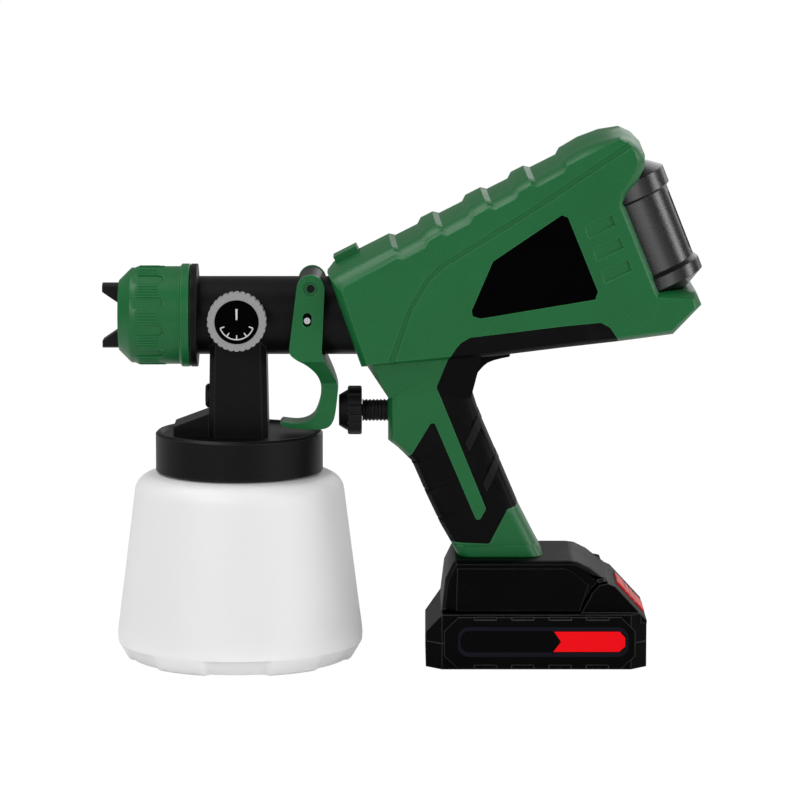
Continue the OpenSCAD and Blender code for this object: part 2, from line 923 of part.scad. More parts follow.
module battery_foot() {
    slot_end = battery_x + battery_l + past;
    color(black)
        difference() {
            union() {
                loft(slab_rings(foot_outline, even(foot_outline, 3), foot_half_w, 5));
                mirror([0, 1, 0])
                    loft(slab_rings(foot_outline, even(foot_outline, 3), foot_half_w, 5));
            }
            translate([tongue_x - slide_gap, -tongue_neck - slide_gap, battery_h - past])
                cube([slot_end - tongue_x, 2 * (tongue_neck + slide_gap), tongue_low + past]);
            translate([tongue_x - slide_gap, -tongue_half_w - slide_gap, battery_h + tongue_low - slide_gap])
                cube([slot_end - tongue_x, 2 * (tongue_half_w + slide_gap),
                    tongue_top - tongue_low + 2 * slide_gap]);
        }
}

module blade_row(gap) {
    for (y = [-12, 0, 12])
        translate([tongue_x - slide_gap - gap, y - 0.5 - gap, battery_h + 10.5 - gap])
            cube([14 + 2 * gap, 1 + 2 * gap, 6.5 + gap]);
}

module terminal_block() {
    color(brass)
        intersection() {
            blade_row(0);
            translate([tongue_x - slide_gap, -far, battery_h])
                cube([far, 2 * far, tongue_top + slide_gap]);
        }
}

module spray_head() {
    foot_half = neck_l / 2;
    top_half = neck_l / 2 - 1.05;
    deep = neck_w / 2;
    cut = 2.8;
    color(black)
        difference() {
            union() {
                bar_x(barrel_r, flange_x - flange_t, barrel_end);
                bar_x(flange_r, flange_x - flange_t, flange_x);
                bar_x(spigot_r, spigot_front, flange_x);
                bar_y(pivot_boss_r, pivot_x, pivot_z, -boss_half_w, boss_half_w);
                bar_y(dial_boss_r, cup_x, axis_z, -dial_boss_y, 0);
                hull() {
                    translate([cup_x, 0, plate_top])
                        linear_extrude(height = 1)
                            neck_section(foot_half, deep, cut);
                    translate([cup_x, 0, axis_z - 2])
                        linear_extrude(height = 1)
                            neck_section(top_half, deep, cut);
                }
                side_plate([[cup_x - lid_r + 9.5, plate_top], [cup_x, plate_top], [cup_x, plate_top + 13],
                    [cup_x - foot_half, plate_top + 11.5], [cup_x - lid_r + 9.5, plate_top + 5]], -13, 13);
            }
            bar_x(barrel_bore, spigot_front - past, barrel_end + past);
            translate([cup_x, 0, plate_top - past])
                cylinder(r = neck_bore, h = axis_z - plate_top);
            bar_y(spindle_r + run_gap, cup_x, axis_z, -dial_boss_y - past, 0);
            bar_y(pivot_pin_r, pivot_x, pivot_z, -far, far);
            for (x = [pin_x - move_gap, pin_x + needle_travel + move_gap])
                bar_y(cross_pin_r + move_gap, x, axis_z, -far, far);
            translate([pin_x - move_gap, -far, axis_z - cross_pin_r - move_gap])
                cube([needle_travel + 2 * move_gap, 2 * far, 2 * (cross_pin_r + move_gap)]);
            bar_x(6 + seat_gap, cup_x - far, cup_x - foot_half + 2, axis_z - 40.5);
        }
}

module neck_section(l, d, c) {
    polygon([[-l + c, -d], [l - c, -d], [l, -d + c], [l, d - c],
        [l - c, d], [-l + c, d], [-l, d - c], [-l, -d + c]]);
}

module valve_cap() {
    color(black)
        turned_x([[0, cup_x - neck_l / 2 - 2], [5, cup_x - neck_l / 2 - 2], [6, cup_x - neck_l / 2 - 1],
            [6, cup_x - neck_l / 2 + 2], [0, cup_x - neck_l / 2 + 2]], axis_z - 40.5);
}

module container_lid() {
    color(black)
        translate([cup_x, 0, 0])
            rotate_extrude()
                polygon([[tube_r + seat_gap, plate_low], [lid_bore, plate_low], [lid_bore, lid_z],
                    [lid_r - 0.6, lid_z], [lid_r, lid_z + 0.6],
                    [lid_r, lid_top - 1.2], [lid_r - 1.2, lid_top],
                    [lid_r - 2.6, lid_top], [lid_r - 3.4, plate_top], [tube_r + seat_gap, plate_top]]);
}

module lid_gasket() {
    color(seal_grey)
        translate([cup_x, 0, plate_low - gasket_t])
            difference() {
                cylinder(r = mouth_r, h = gasket_t);
                translate([0, 0, -past])
                    cylinder(r = mouth_r - 5, h = gasket_t + 2 * past);
            }
}

module fluid_tube() {
    back = cup_x + 14;
    color(grey)
        difference() {
            union() {
                bar_x(fluid_r, spigot_front, back);
                bar_x(barrel_bore - seat_gap, spigot_front, spigot_front + 4);
                translate([cup_x, 0, plate_low - 8])
                    cylinder(r = tube_r, h = axis_z - plate_low + 8);
            }
            bar_x(fluid_bore, spigot_front - past, back + past);
            bar_x(4.6, back - 6, back + past);
            bar_x(5, spigot_front - past, spigot_front + 6);
            translate([cup_x, 0, plate_low - 8 - past])
                cylinder(r = 3, h = axis_z - plate_low + 8 + past);
            translate([cup_x, 0, plate_low - 8 - past])
                cylinder(r = 4, h = 7 + past);
            for (i = [0 : 5])
                translate([0, 0, axis_z])
                    rotate([60 * i, 0, 0])
                        bar_x(2.4, spigot_front - past, spigot_front + 4 + past, 11.2);
        }
}

module pickup_tube() {
    low = floor_low + floor_t + 6;
    color(milky)
        translate([cup_x, 0, 0])
            difference() {
                translate([0, 0, low])
                    cylinder(r = 4 - seat_gap, h = plate_low - 1.2 - low);
                translate([0, 0, low - past])
                    cylinder(r = 2.8, h = plate_low);
            }
}

module pickup_strainer() {
    low = floor_low + floor_t + 2;
    color(grey)
        translate([cup_x, 0, low])
            difference() {
                cylinder(r = 7, h = 12);
                translate([0, 0, 4])
                    cylinder(r = 4, h = 12);
                translate([0, 0, -past])
                    cylinder(r = 2.8, h = 12);
                for (i = [0 : 3])
                    rotate([0, 0, 45 * i])
                        translate([-far / 2, -0.8, -past])
                            cube([far, 1.6, 2.6 + past]);
            }
}

module nozzle_tip() {
    color(brass)
        difference() {
            turned_x([[0, spigot_front + 6], [5, spigot_front + 6], [5, spigot_front], [6.5, spigot_front],
                [6.5, spigot_front - 5], [2.4, cap_front - 0.3], [2, cap_front - 1], [0, cap_front - 1]]);
            bar_x(needle_r + 0.3, spigot_front - 9, spigot_front + 6 + past);
            bar_x(0.9, cap_front - 1 - past, spigot_front);
        }
}

module air_cap() {
    horn = [[horn_tip, 12.2], [cap_front + 1, 5.6], [cap_front + 1, horn_r], [horn_tip, horn_r]];
    color(black)
        difference() {
            union() {
                turned_x([[0, cap_front], [cap_mouth, cap_front], [cap_mouth, cap_front + 1.4],
                    [cap_r, cap_front + 6.6], [cap_r, cap_back], [0, cap_back]]);
                intersection() {
                    union()
                        for (m = [0, 1])
                            translate([0, 0, axis_z])
                                mirror([0, 0, m])
                                    side_plate(horn, -6, 6);
                    bar_x(horn_r, horn_tip - past, cap_front + 2);
                }
            }
            turned_x([[0, cap_front - past], [3.2, cap_front - past], [3.2, cap_front + 0.4],
                [cap_mouth - 4, cap_front + 5], [cap_mouth - 4, cap_back + past], [0, cap_back + past]]);
            for (m = [0, 1])
                translate([0, 0, axis_z])
                    mirror([0, 0, m])
                        bar_x(1.1, horn_tip + 2.5, cap_back + past, 11.4);
        }
}

module union_nut() {
    body = nut_r - 0.7;
    mouth = cap_mouth + move_gap;
    flute_end = nut_back - 12.4 - flute_half_w;
    flute = concat([[nut_front + 6.6, -flute_half_w]], arc([flute_end, 0], flute_half_w, -90, 90, 12),
        [[nut_front + 6.6, flute_half_w]]);
    color(green)
        difference() {
            turned_x([[mouth, nut_front], [mouth + 0.7, nut_front], [body - 0.2, nut_front + 6],
                [body, nut_front + 6.6], [body, nut_front + 8], [nut_r, nut_front + 9.5],
                [nut_r, nut_back - 5.2], [flange_r, nut_back - 4.2], [flange_r, nut_back - 0.6],
                [flange_r - 0.6, nut_back], [mouth, nut_back]]);
            for (i = [0 : flute_count - 1])
                translate([0, 0, axis_z])
                    rotate([flute_turn - 360 * i / flute_count, 0, 0])
                        translate([0, -body, 0])
                            rotate([90, 0, 0])
                                linear_extrude(height = far)
                                    polygon(flute);
            turned_x([[0, nut_front - past], [mouth, nut_front - past], [mouth, cap_front + 1.1],
                [nut_bore, cap_front + 6.3], [nut_bore, nut_back + past], [0, nut_back + past]]);
        }
}

module nozzle_seal() {
    color(seal_grey)
        translate([0, 0, axis_z])
            rotate([0, 90, 0])
                translate([0, 0, spigot_front - 0.8])
                    rotate_extrude()
                        translate([8.6, 0])
                            circle(r = 0.7, $fn = 24);
}

module paint_needle() {
    tip = spigot_front - 8.6;
    tail = pin_x + 26;
    color(steel)
        difference() {
            turned_x([[0, tip], [0.5, tip], [needle_r, tip + 4], [needle_r, pin_x - 4], [3.6, pin_x - 4],
                [3.6, pin_x + 4], [needle_r, pin_x + 4], [needle_r, tail], [0, tail]]);
            bar_y(cross_pin_r, pin_x, axis_z, -far, far);
        }
}

module needle_pin() {
    color(steel)
        bar_y(cross_pin_r, pin_x, axis_z, -ear_outer - 0.6, ear_outer + 0.6);
}

module needle_spring() {
    start = pin_x + 4 + seat_gap;
    color(steel)
        translate([start, 0, axis_z])
            rotate([0, 90, 0])
                coil(2.9, 0.45, 15, 6);
}

module needle_guide() {
    start = pin_x + 4 + 15 + 2 * seat_gap;
    color(grey)
        difference() {
            bar_x(barrel_bore - seat_gap, start, start + 4);
            bar_x(needle_r + run_gap, start - past, start + 4 + past);
            for (i = [0 : 5])
                translate([0, 0, axis_z])
                    rotate([60 * i, 0, 0])
                        bar_x(3.4, start - past, start + 4 + past, 9.6);
        }
}

module packing_nut() {
    back = cup_x + 14;
    color(brass)
        difference() {
            union() {
                bar_x(4.6 - seat_gap, back - 6, back);
                translate([back, 0, axis_z])
                    rotate([0, 90, 0])
                        cylinder(r = 6.4, h = 3, $fn = 6);
            }
            bar_x(needle_r + run_gap, back - 6 - past, back + 3 + past);
        }
}

// Side outline of the trigger: finger hook, back, ears round the pivot, front
module trigger_outline() {
    hook = [[-15.8, -69.4], [-11.5, -71.2], [-4.2, -72], [4.9, -72], [8.7, -70.7], [10.6, -68.2],
        [11.8, -64.5], [12.9, -56], [13, -49.8], [10.2, -42.7], [5.7, -33.7], [5.6, -27.8]];
    front = [[-10.4, -27.8], [-10.4, -32.2], [-7.6, -35], [-2.4, -38.2], [2.4, -43.2], [4.7, -49],
        [4.6, -55], [3.4, -60.5], [1, -65.6], [-3.1, -68.2], [-8.2, -68.9], [-14.6, -68.2]];
    pivot = [pivot_x, pivot_z];
    polygon([for (q = concat(curve(hook, 3), arc([0, 0], 6.9, 0, 180, 12), curve(front, 3))) pivot + q]);
}

module trigger() {
    drop = pivot_up + barrel_r + 1.6;
    round_z = pivot_z - drop + ear_inner;
    low = pivot_z - 80;
    top = pivot_z + 12;
    arch = arc([0, round_z], ear_inner, 180, 360, 24);
    front_view = concat([[-finger_half_w, low], [finger_half_w, low], [finger_half_w, pivot_z - 49],
        [ear_outer, pivot_z - 36], [ear_outer, top], [ear_inner, top]], [for (i = [24 : -1 : 0]) arch[i]],
        [[-ear_inner, top], [-ear_outer, top], [-ear_outer, pivot_z - 36], [-finger_half_w, pivot_z - 49]]);
    color(green)
        difference() {
            intersection() {
                translate([0, far, 0])
                    rotate([90, 0, 0])
                        linear_extrude(height = 2 * far)
                            trigger_outline();
                translate([pivot_x - far, 0, 0])
                    rotate([90, 0, 90])
                        linear_extrude(height = 2 * far)
                            polygon(front_view);
            }
            bar_y(pivot_pin_r + run_gap, pivot_x, pivot_z, -far, far);
            bar_y(3.8, pivot_x, pivot_z, -far, 1.2 - ear_outer);
            bar_y(3.8, pivot_x, pivot_z, ear_outer - 1.2, far);
            for (z = [-0.9, 1.7])
                bar_y(2.15, pin_x, axis_z + z, -far, far);
            translate([pin_x - 2.15, -far, axis_z - 0.9])
                cube([4.3, 2 * far, 2.6]);
        }
}

module trigger_pin() {
    color(steel)
        bar_y(pivot_pin_r, pivot_x, pivot_z, 1.6 - ear_outer, ear_outer - 1.6);
}

module shape_dial() {
    scallops = 30;
    color(grey)
        difference() {
            bar_y(dial_r, cup_x, axis_z, -dial_front, -dial_back);
            bar_y(face_r, cup_x, axis_z, -dial_front - past, face_t - dial_front);
            bar_y(spindle_r, cup_x, axis_z, -dial_front, 0);
            for (i = [0 : scallops - 1])
                bar_y(0.8, cup_x + (dial_r + 0.3) * cos(360 * i / scallops),
                    axis_z + (dial_r + 0.3) * sin(360 * i / scallops), -dial_front - past, 1.6 - dial_back);
        }
}

module dial_face() {
    color(black)
        bar_y(face_r - seat_gap, cup_x, axis_z, -dial_front - 0.2, face_t - dial_front);
}

module dial_spindle() {
    color(steel)
        bar_y(spindle_r, cup_x, axis_z, face_t - dial_front, 1 - barrel_bore);
}

module paint_cup() {
    inner_r = cup_r - cup_wall;
    shoulder_in = cup_shoulder_r - cup_wall;
    floor_top = floor_low + floor_t;
    outside = concat([[foot_r - foot_ring, 0], [foot_r, 0], [foot_r + 2.6, 0.7], [cup_r - 0.3, bevel_h],
        [cup_r, bevel_h + 3.5], [cup_r - 0.6, bevel_h + 9.5]],
        [for (q = arc([cup_shoulder_r - 9.5, cup_h - 10.5], 9.5, 4, 82, 8)) q],
        [[mouth_r, cup_h], [mouth_r, cup_h + 4], [mouth_r + 0.2, cup_h + 5], [mouth_r + 0.2, cup_h + 6],
        [mouth_r, cup_h + 7], [mouth_r, mouth_top]]);
    inside = concat([[mouth_r - cup_wall, mouth_top], [mouth_r - cup_wall, cup_h - cup_wall]],
        [for (q = arc([shoulder_in - 7.7, cup_h - 10.5], 7.7, 82, 4, 8)) q],
        [[inner_r - 0.6, bevel_h + 9.5], [inner_r - 0.4, bevel_h + 4.5], [inner_r - 1.6, bevel_h + 1],
        [foot_r - 3, floor_top], [0, floor_top], [0, floor_low], [foot_r - foot_ring - 1, floor_low]]);
    panel = [[foot_r - 0.8, -past], [foot_r + 0.6, 0.7],
        [cup_r - 2.3, bevel_h - 1], [cup_r + past, bevel_h - 0.4],
        [cup_r + past, -past]];
    color(milky)
        difference() {
            translate([cup_x, 0, 0])
                rotate_extrude($fn = 96)
                    polygon(concat(outside, inside));
            for (i = [0 : panel_count - 1])
                translate([cup_x, 0, 0])
                    rotate([0, 0, 360 * i / panel_count - 90 - panel_span / 2])
                        rotate_extrude(angle = panel_span)
                            polygon(panel);
        }
}

module pack_plan(shrink, h) {
    x0 = battery_x + shrink;
    x1 = battery_x + battery_l - shrink;
    w = battery_half_w - shrink;
    c = case_chamfer - shrink / 2;
    linear_extrude(height = h)
        polygon([[x0 + c, -w], [x1 - c, -w], [x1, -w + c], [x1, w - c], [x1 - c, w], [x0 + c, w],
            [x0, w - c], [x0, -w + c]]);
}

// Space before the pack's sloping front, moved back by an amount
module front_slope(back) {
    run = slope_l / slope_h;
    start = back * norm([slope_l, slope_h]) / slope_h;
    under = slope_h + back + past;
    side_plate(from_battery([[start - run * (back + past), -under], [start + slope_l + run * past, past],
        [-far, past], [-far, -under]]), -far, far);
}

module case_screw_holes(r, h) {
    for (x = [battery_x + post_inset, battery_x + battery_l - post_inset])
        for (y = [-20, 20])
            translate([x, y, 0])
                cylinder(r = r, h = h);
}

module battery_lower_case() {
    color(black)
        difference() {
            union() {
                difference() {
                    pack_plan(0, case_split);
                    translate([0, 0, 2.8])
                        pack_plan(case_wall, case_split);
                }
                case_screw_holes(post_r, case_split);
            }
            translate([0, 0, -past])
                case_screw_holes(1.4, case_split + 2 * past);
            translate([0, 0, -past])
                case_screw_holes(2 + seat_gap, 2 + past);
        }
}

module battery_upper_case() {
    hump = from_battery([[77.2, -5], [battery_l, -5], [battery_l, -3.8], [94, 13.2], [90.4, 14.8],
        [86, 13.9], [83, 10.6], [77.2, 0]]);
    slant = from_battery([[battery_l - 15.7, 13.6], [battery_l + 2.3, -6.4], [battery_l + 12, 20],
        [battery_l - 15.7, 30]]);
    color(black)
        difference() {
            union() {
                difference() {
                    translate([0, 0, case_split])
                        pack_plan(0, battery_h - case_split);
                    difference() {
                        translate([0, 0, case_split - past])
                            pack_plan(case_wall, battery_h - case_split - case_wall + past);
                        front_slope(case_wall);
                    }
                }
                translate([0, 0, case_split])
                    case_screw_holes(post_r, battery_h - case_split - past);
                translate([tongue_x, -tongue_neck, battery_h - past])
                    cube([battery_l - 24, 2 * tongue_neck, tongue_low + past]);
                translate([tongue_x, -tongue_half_w, battery_h + tongue_low])
                    cube([battery_l - 36, 2 * tongue_half_w, tongue_top - tongue_low - slide_gap]);
                side_plate(hump, -foot_half_w + 1, foot_half_w - 1);
                press_frame()
                    translate([-press_travel - 6, -press_half_w - 2, -press_half_l - 2])
                        cube([press_travel + 4, 2 * press_half_w + 4, 2 * press_half_l + 4]);
            }
            side_plate(slant, -far, far);
            front_slope(0);
            press_frame()
                translate([-press_travel - 4, -press_half_w - slide_gap, -press_half_l - slide_gap])
                    cube([far, 2 * (press_half_w + slide_gap), 2 * (press_half_l + slide_gap)]);
            blade_row(slide_gap);
            translate([0, 0, case_split - past])
                case_screw_holes(1.4, post_bore + past);
        }
}

module battery_cells() {
    color(steel)
        for (i = [0 : 4])
            bar_y(cell_r, battery_x + 16.6 + cell_pitch * i, cell_z, -cell_half_l, cell_half_l);
}

module cell_board() {
    color(board_green)
        translate([battery_x + 14, -20, cell_z + cell_r + seat_gap])
            cube([60, 40, 1.6]);
}

module battery_screws() {
    color(steel) {
        difference() {
            case_screw_holes(2, 2);
            translate([0, 0, -past])
                case_screw_holes(1, 1.2 + past, $fn = 6);
        }
        case_screw_holes(1.4, case_split + post_bore - 1);
    }
}

// Raised side frame of the pack with small grip notches above and below
module pack_frame() {
    x0 = battery_x + 9;
    x1 = battery_x + battery_l - 6;
    top = battery_h - 1;
    c = 7;
    difference() {
        side_plate([[x0 + c, 0.4], [x1 - c, 0.4], [x1, c], [x1, top - c], [x1 - c, top], [x0 + c, top],
            [x0, top - c], [x0, c]], -battery_half_w - plate_t, -battery_half_w);
        for (i = [0 : 3])
            for (z = [-0.6, top - 1.4])
                translate([x0 + 15 + 18.5 * i, -battery_half_w - plate_t - past, z])
                    cube([11, past + 0.8, 3]);
    }
}

module left_battery_frame() {
    color(black)
        pack_frame();
}

module right_battery_frame() {
    color(black)
        mirror([0, 1, 0])
            pack_frame();
}

module battery_button() {
    color(red)
        press_frame()
            difference() {
                translate([-3, -press_half_w, -press_half_l])
                    cube([3.8, 2 * press_half_w, 2 * press_half_l]);
                for (i = [-1 : 1])
                    translate([0.4, -press_half_w - past, 3.4 * i - 0.5])
                        cube([past, 2 * press_half_w + 2 * past, 1]);
            }
}

module button_spring() {
    color(steel)
        press_frame()
            rotate([0, 90, 0])
                translate([0, 0, -press_travel - 4 + seat_gap])
                    coil(5, 0.4, 4 - 2 * seat_gap, 3);
}

left_housing();
right_housing();
left_grip_pad();
right_grip_pad();
left_badge();
right_badge();
housing_screws();
rear_cover();
air_filter();
fan_casing();
impeller();
motor_shaft();
motor_can();
motor_winding();
motor_magnet();
motor_bearings();
motor_mount();
air_duct();
control_board();
trigger_switch();
plunger_bush();
flow_stem();
flow_wheel();
plunger_spring();
head_release_button();
release_spring();
battery_foot();
terminal_block();
spray_head();
valve_cap();
container_lid();
lid_gasket();
fluid_tube();
pickup_tube();
pickup_strainer();
nozzle_tip();
air_cap();
union_nut();
nozzle_seal();
paint_needle();
needle_pin();
needle_spring();
needle_guide();
packing_nut();
trigger();
trigger_pin();
shape_dial();
dial_face();
dial_spindle();
paint_cup();
battery_lower_case();
battery_upper_case();
battery_cells();
cell_board();
battery_screws();
left_battery_frame();
right_battery_frame();
battery_button();
button_spring();
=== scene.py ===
"""Looks of a cordless paint sprayer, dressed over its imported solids.

Every length is in metres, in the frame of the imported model: the nozzle points
to -X, the grip and battery are at +X, and the gun stands on Z = 0. Shells are
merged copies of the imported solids, and round, printed and fine pieces are
modelled here with operators.
"""

import logging
import math
from collections.abc import Iterator, Sequence
from contextlib import contextmanager
from dataclasses import dataclass, field, replace
from enum import Enum

import bpy
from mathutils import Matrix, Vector


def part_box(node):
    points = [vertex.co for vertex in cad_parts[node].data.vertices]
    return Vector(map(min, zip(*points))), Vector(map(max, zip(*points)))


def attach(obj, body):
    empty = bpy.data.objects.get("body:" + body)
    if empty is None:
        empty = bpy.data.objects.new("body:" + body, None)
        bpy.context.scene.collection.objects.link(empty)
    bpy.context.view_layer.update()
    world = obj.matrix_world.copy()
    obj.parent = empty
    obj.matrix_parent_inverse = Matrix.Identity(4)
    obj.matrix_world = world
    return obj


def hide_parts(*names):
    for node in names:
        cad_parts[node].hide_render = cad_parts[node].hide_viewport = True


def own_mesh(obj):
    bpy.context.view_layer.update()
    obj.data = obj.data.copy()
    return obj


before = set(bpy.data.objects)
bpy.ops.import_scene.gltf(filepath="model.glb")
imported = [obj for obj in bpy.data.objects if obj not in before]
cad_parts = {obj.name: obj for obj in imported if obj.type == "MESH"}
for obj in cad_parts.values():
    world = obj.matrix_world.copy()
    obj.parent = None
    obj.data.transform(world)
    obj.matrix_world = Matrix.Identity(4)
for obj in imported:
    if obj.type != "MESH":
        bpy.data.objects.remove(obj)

LOG = logging.getLogger("sprayer")
MM = 0.001
Piece = bpy.types.Object
Material = bpy.types.Material
Socket = bpy.types.NodeSocket
Colour = tuple[float, float, float]
Point = tuple[float, float, float]
Flat = tuple[float, float]
Outline = Sequence[Flat]
Term = "Value | float"
Inputs = dict | None

# Points of a modelled piece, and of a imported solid, merge when they are this close
MERGE = 0.002 * MM
SOLID_MERGE = 0.001 * MM

# Shading is smooth up to these angles between faces, in degrees
SKIN_ANGLE = 32.0
SHELL_ANGLE = 34.0

FULL_TURN = 360.0
CORNER_STEPS = 8


class Side(Enum):
    """The two sides of the gun, with the sign of their Y."""

    LEFT = -1
    RIGHT = 1


class Axis(Enum):
    """An axis that a round piece is turned about."""

    Y = (0.0, 1.0, 0.0)
    Z = (0.0, 0.0, 1.0)


# Materials


@dataclass(frozen=True)
class Value:
    """A socket among a graph's nodes, with arithmetic that adds Math nodes."""

    graph: "Graph"
    socket: Socket

    def _math(self, operation: str, first: Term, second: Term) -> "Value":
        """The result of one Math node."""
        return self.graph.value("ShaderNodeMath", {"operation": operation}, {0: first, 1: second})

    def __add__(self, other: Term) -> "Value":
        """The sum."""
        return self._math("ADD", self, other)

    __radd__ = __add__

    def __sub__(self, other: Term) -> "Value":
        """The difference."""
        return self._math("SUBTRACT", self, other)

    def __rsub__(self, other: Term) -> "Value":
        """The difference from a number."""
        return self._math("SUBTRACT", other, self)

    def __mul__(self, other: Term) -> "Value":
        """The product."""
        return self._math("MULTIPLY", self, other)

    def between(self, low: float, high: float) -> "Value":
        """Rises smoothly from 0 at low to 1 at high."""
        inputs = {0: self, 1: low, 2: high, 3: 0.0, 4: 1.0}
        return self.graph.value("ShaderNodeMapRange", {"interpolation_type": "SMOOTHSTEP"}, inputs)


class Graph:
    """The nodes of one material, or of the world, around a shader."""

    edge_lean: Flat = (0.006, 0.14)

    def __init__(self, owner: bpy.types.ID, shader: str = "Principled BSDF") -> None:
        """Gives the owner nodes and finds its shader.

        Args:
            owner: The material or the world.
            shader: The name of its shader node.
        """
        owner.use_nodes = True
        self.tree = owner.node_tree
        self.shader = self.tree.nodes[shader]
        self.place = self.value("ShaderNodeTexCoord", output="Object")

    def node(self, kind: str, settings: Inputs = None, inputs: Inputs = None) -> bpy.types.Node:
        """Adds a node.

        Args:
            kind: The node's type.
            settings: Its own settings, set first.
            inputs: Values or links of its sockets, by index or name.

        Returns:
            The node.
        """
        node = self.tree.nodes.new(kind)
        for name, value in (settings or {}).items():
            setattr(node, name, value)
        for key, value in (inputs or {}).items():
            self.feed(node.inputs[key], value)
        return node

    def feed(self, socket: Socket, value: object) -> None:
        """Links a Value to a socket, or sets a constant on it.

        Args:
            socket: The socket.
            value: The Value or the constant.
        """
        if isinstance(value, Value):
            self.tree.links.new(value.socket, socket)
        else:
            socket.default_value = value

    def value(
        self, kind: str, settings: Inputs = None, inputs: Inputs = None, output: int | str = 0
    ) -> Value:
        """Adds a node and gives one of its outputs as a Value."""
        return Value(self, self.node(kind, settings, inputs).outputs[output])

    def noise(self, size: float, detail: float = 2.0, stretch: Point = (1.0, 1.0, 1.0)) -> Value:
        """Noise over the surface.

        Args:
            size: The width of its blotches.
            detail: The number of finer layers.
            stretch: How much longer they are along each axis.

        Returns:
            The noise, from 0 to 1.
        """
        scale = tuple(1.0 / s for s in stretch)
        place = self.value("ShaderNodeMapping", {}, {0: self.place, 3: scale})
        inputs = {"Vector": place, "Scale": 1.0 / size, "Detail": detail}
        return self.value("ShaderNodeTexNoise", {}, inputs)

    def cells(self, size: float) -> Value:
        """Distance to the nearest of scattered points, for pores and pebbled skins."""
        inputs = {"Vector": self.place, "Scale": 1.0 / size}
        return self.value("ShaderNodeTexVoronoi", {"feature": "F1"}, inputs)

    def mix(self, share: Term, first: "Value | Colour", second: "Value | Colour") -> Value:
        """A colour between two others.

        Args:
            share: The share of the second one.
            first: The first colour.
            second: The second colour.

        Returns:
            The colour.
        """
        pair = [c if isinstance(c, Value) else (*c, 1.0) for c in (first, second)]
        inputs = {0: share, 6: pair[0], 7: pair[1]}
        return self.value("ShaderNodeMix", {"data_type": "RGBA"}, inputs, 2)

    def soft_edge(self, radius: float) -> Value:
        """The surface normal with each edge rounded to a radius."""
        return self.value("ShaderNodeBevel", {"samples": 4}, {0: radius})

    def edge_share(self, rounded: Value) -> Value:
        """How far the rounded normal leans from the flat one.

        Args:
            rounded: The rounded normal.

        Returns:
            The share, from 0 to 1.
        """
        flat = self.value("ShaderNodeNewGeometry", output="Normal")
        dot = {"operation": "DOT_PRODUCT"}
        lean = self.value("ShaderNodeVectorMath", dot, {0: rounded, 1: flat}, 1)
        return (1.0 - lean).between(*self.edge_lean)

    def bump(self, height: Value, distance: float, normal: Value | None = None) -> Value:
        """The normal over a relief.

        Args:
            height: The relief.
            distance: Its depth.
            normal: The normal under it.

        Returns:
            The normal.
        """
        inputs: dict = {"Height": height, "Distance": distance, "Strength": 1.0}
        if normal is not None:
            inputs["Normal"] = normal
        return self.value("ShaderNodeBump", {}, inputs)

    def surface(self, **sockets: object) -> None:
        """Sets the shader's sockets, with _ for spaces in their names."""
        for name, value in sockets.items():
            self.feed(self.shader.inputs[name.replace("_", " ")], value)


@dataclass(frozen=True)
class Finish:
    """A surface finish, with the record's slot that it belongs to."""

    name: str
    slot: str
    colour: Colour

    def tint(self, gain: float, lift: float = 0.0) -> Colour:
        """The finish's colour, scaled and lifted."""
        return tuple(min(1.0, c * gain + lift) for c in self.colour)

    def build(self) -> Material:
        """Makes the material.

        Returns:
            The material.
        """
        material = bpy.data.materials.new(self.name)
        self.weave(Graph(material))
        return material

    def weave(self, g: Graph) -> None:
        """Sets the material's nodes.

        Args:
            g: The material's graph.
        """
        raise NotImplementedError


@dataclass(frozen=True)
class MouldedPlastic(Finish):
    """A moulded plastic with a spark-eroded grain and a highlight painted along its edges."""

    roughness: float
    grain: float = 0.75 * MM
    relief: float = 0.035 * MM
    edge: float = 0.7 * MM
    # Share of the highlight painted along the edges
    edge_highlight_share: float = 0.85
    shine: float = 0.30
    # Brightness added to the painted edge highlight and the pale specks, and a little to the clouds
    lift: float = 0.020
    speck: float = 0.25
    cloud: float = 38 * MM
    scuff: float = 7 * MM

    def weave(self, g: Graph) -> None:
        """Clouded colour with pale specks on the grain and a highlight painted on the edges, over
        the grain's relief.
        """
        rounded = g.soft_edge(self.edge)
        grain = g.noise(self.grain, 3.0)
        cloud = g.noise(self.cloud, 3.0)
        scuff = g.noise(self.scuff, 5.0, (3.0, 1.0, 1.0)).between(0.60, 0.78)
        # A paler tone, painted on the edges as a highlight and on the grain as specks
        edge_highlight_and_speck = self.tint(2.2, self.lift)
        tone = g.mix(cloud, self.tint(0.88), self.tint(1.12, self.lift / 60))
        tone = g.mix(grain.between(0.55, 0.80) * self.speck, tone, edge_highlight_and_speck)
        # Painted highlight: the edges are painted lighter where they would catch the lamps
        tone = g.mix(g.edge_share(rounded) * self.edge_highlight_share, tone, edge_highlight_and_speck)
        rough = self.roughness + (cloud - 0.5) * 0.10 + (grain - 0.5) * 0.16 - scuff * 0.05
        g.surface(
            Base_Color=tone, Roughness=rough, Normal=g.bump(grain, self.relief, rounded), IOR=1.48,
            Specular_IOR_Level=self.shine,
        )


@dataclass(frozen=True)
class SoftTouch(Finish):
    """A matt rubber overmould with a fine pebbled skin."""

    pebble: float = 0.5 * MM
    shine: float = 0.06
    lift: float = 0.0025
    edge: float = 0.4 * MM
    dust: float = 16 * MM
    relief: float = 0.03 * MM

    def weave(self, g: Graph) -> None:
        """Dusty colour with a painted highlight on the edges, over the pebbles."""
        rounded = g.soft_edge(self.edge)
        pebble = g.cells(self.pebble)
        dust = g.noise(self.dust, 4.0).between(0.48, 0.80)
        pale = self.tint(1.9, self.lift)
        tone = g.mix(dust * 0.45, self.colour, pale)
        # Painted highlight: the edges are painted paler
        tone = g.mix(g.edge_share(rounded) * 0.35, tone, pale)
        g.surface(
            Base_Color=tone, Roughness=0.56 + dust * 0.10 - pebble * 0.06,
            Normal=g.bump(pebble, self.relief, rounded), IOR=1.50, Specular_IOR_Level=self.shine,
        )


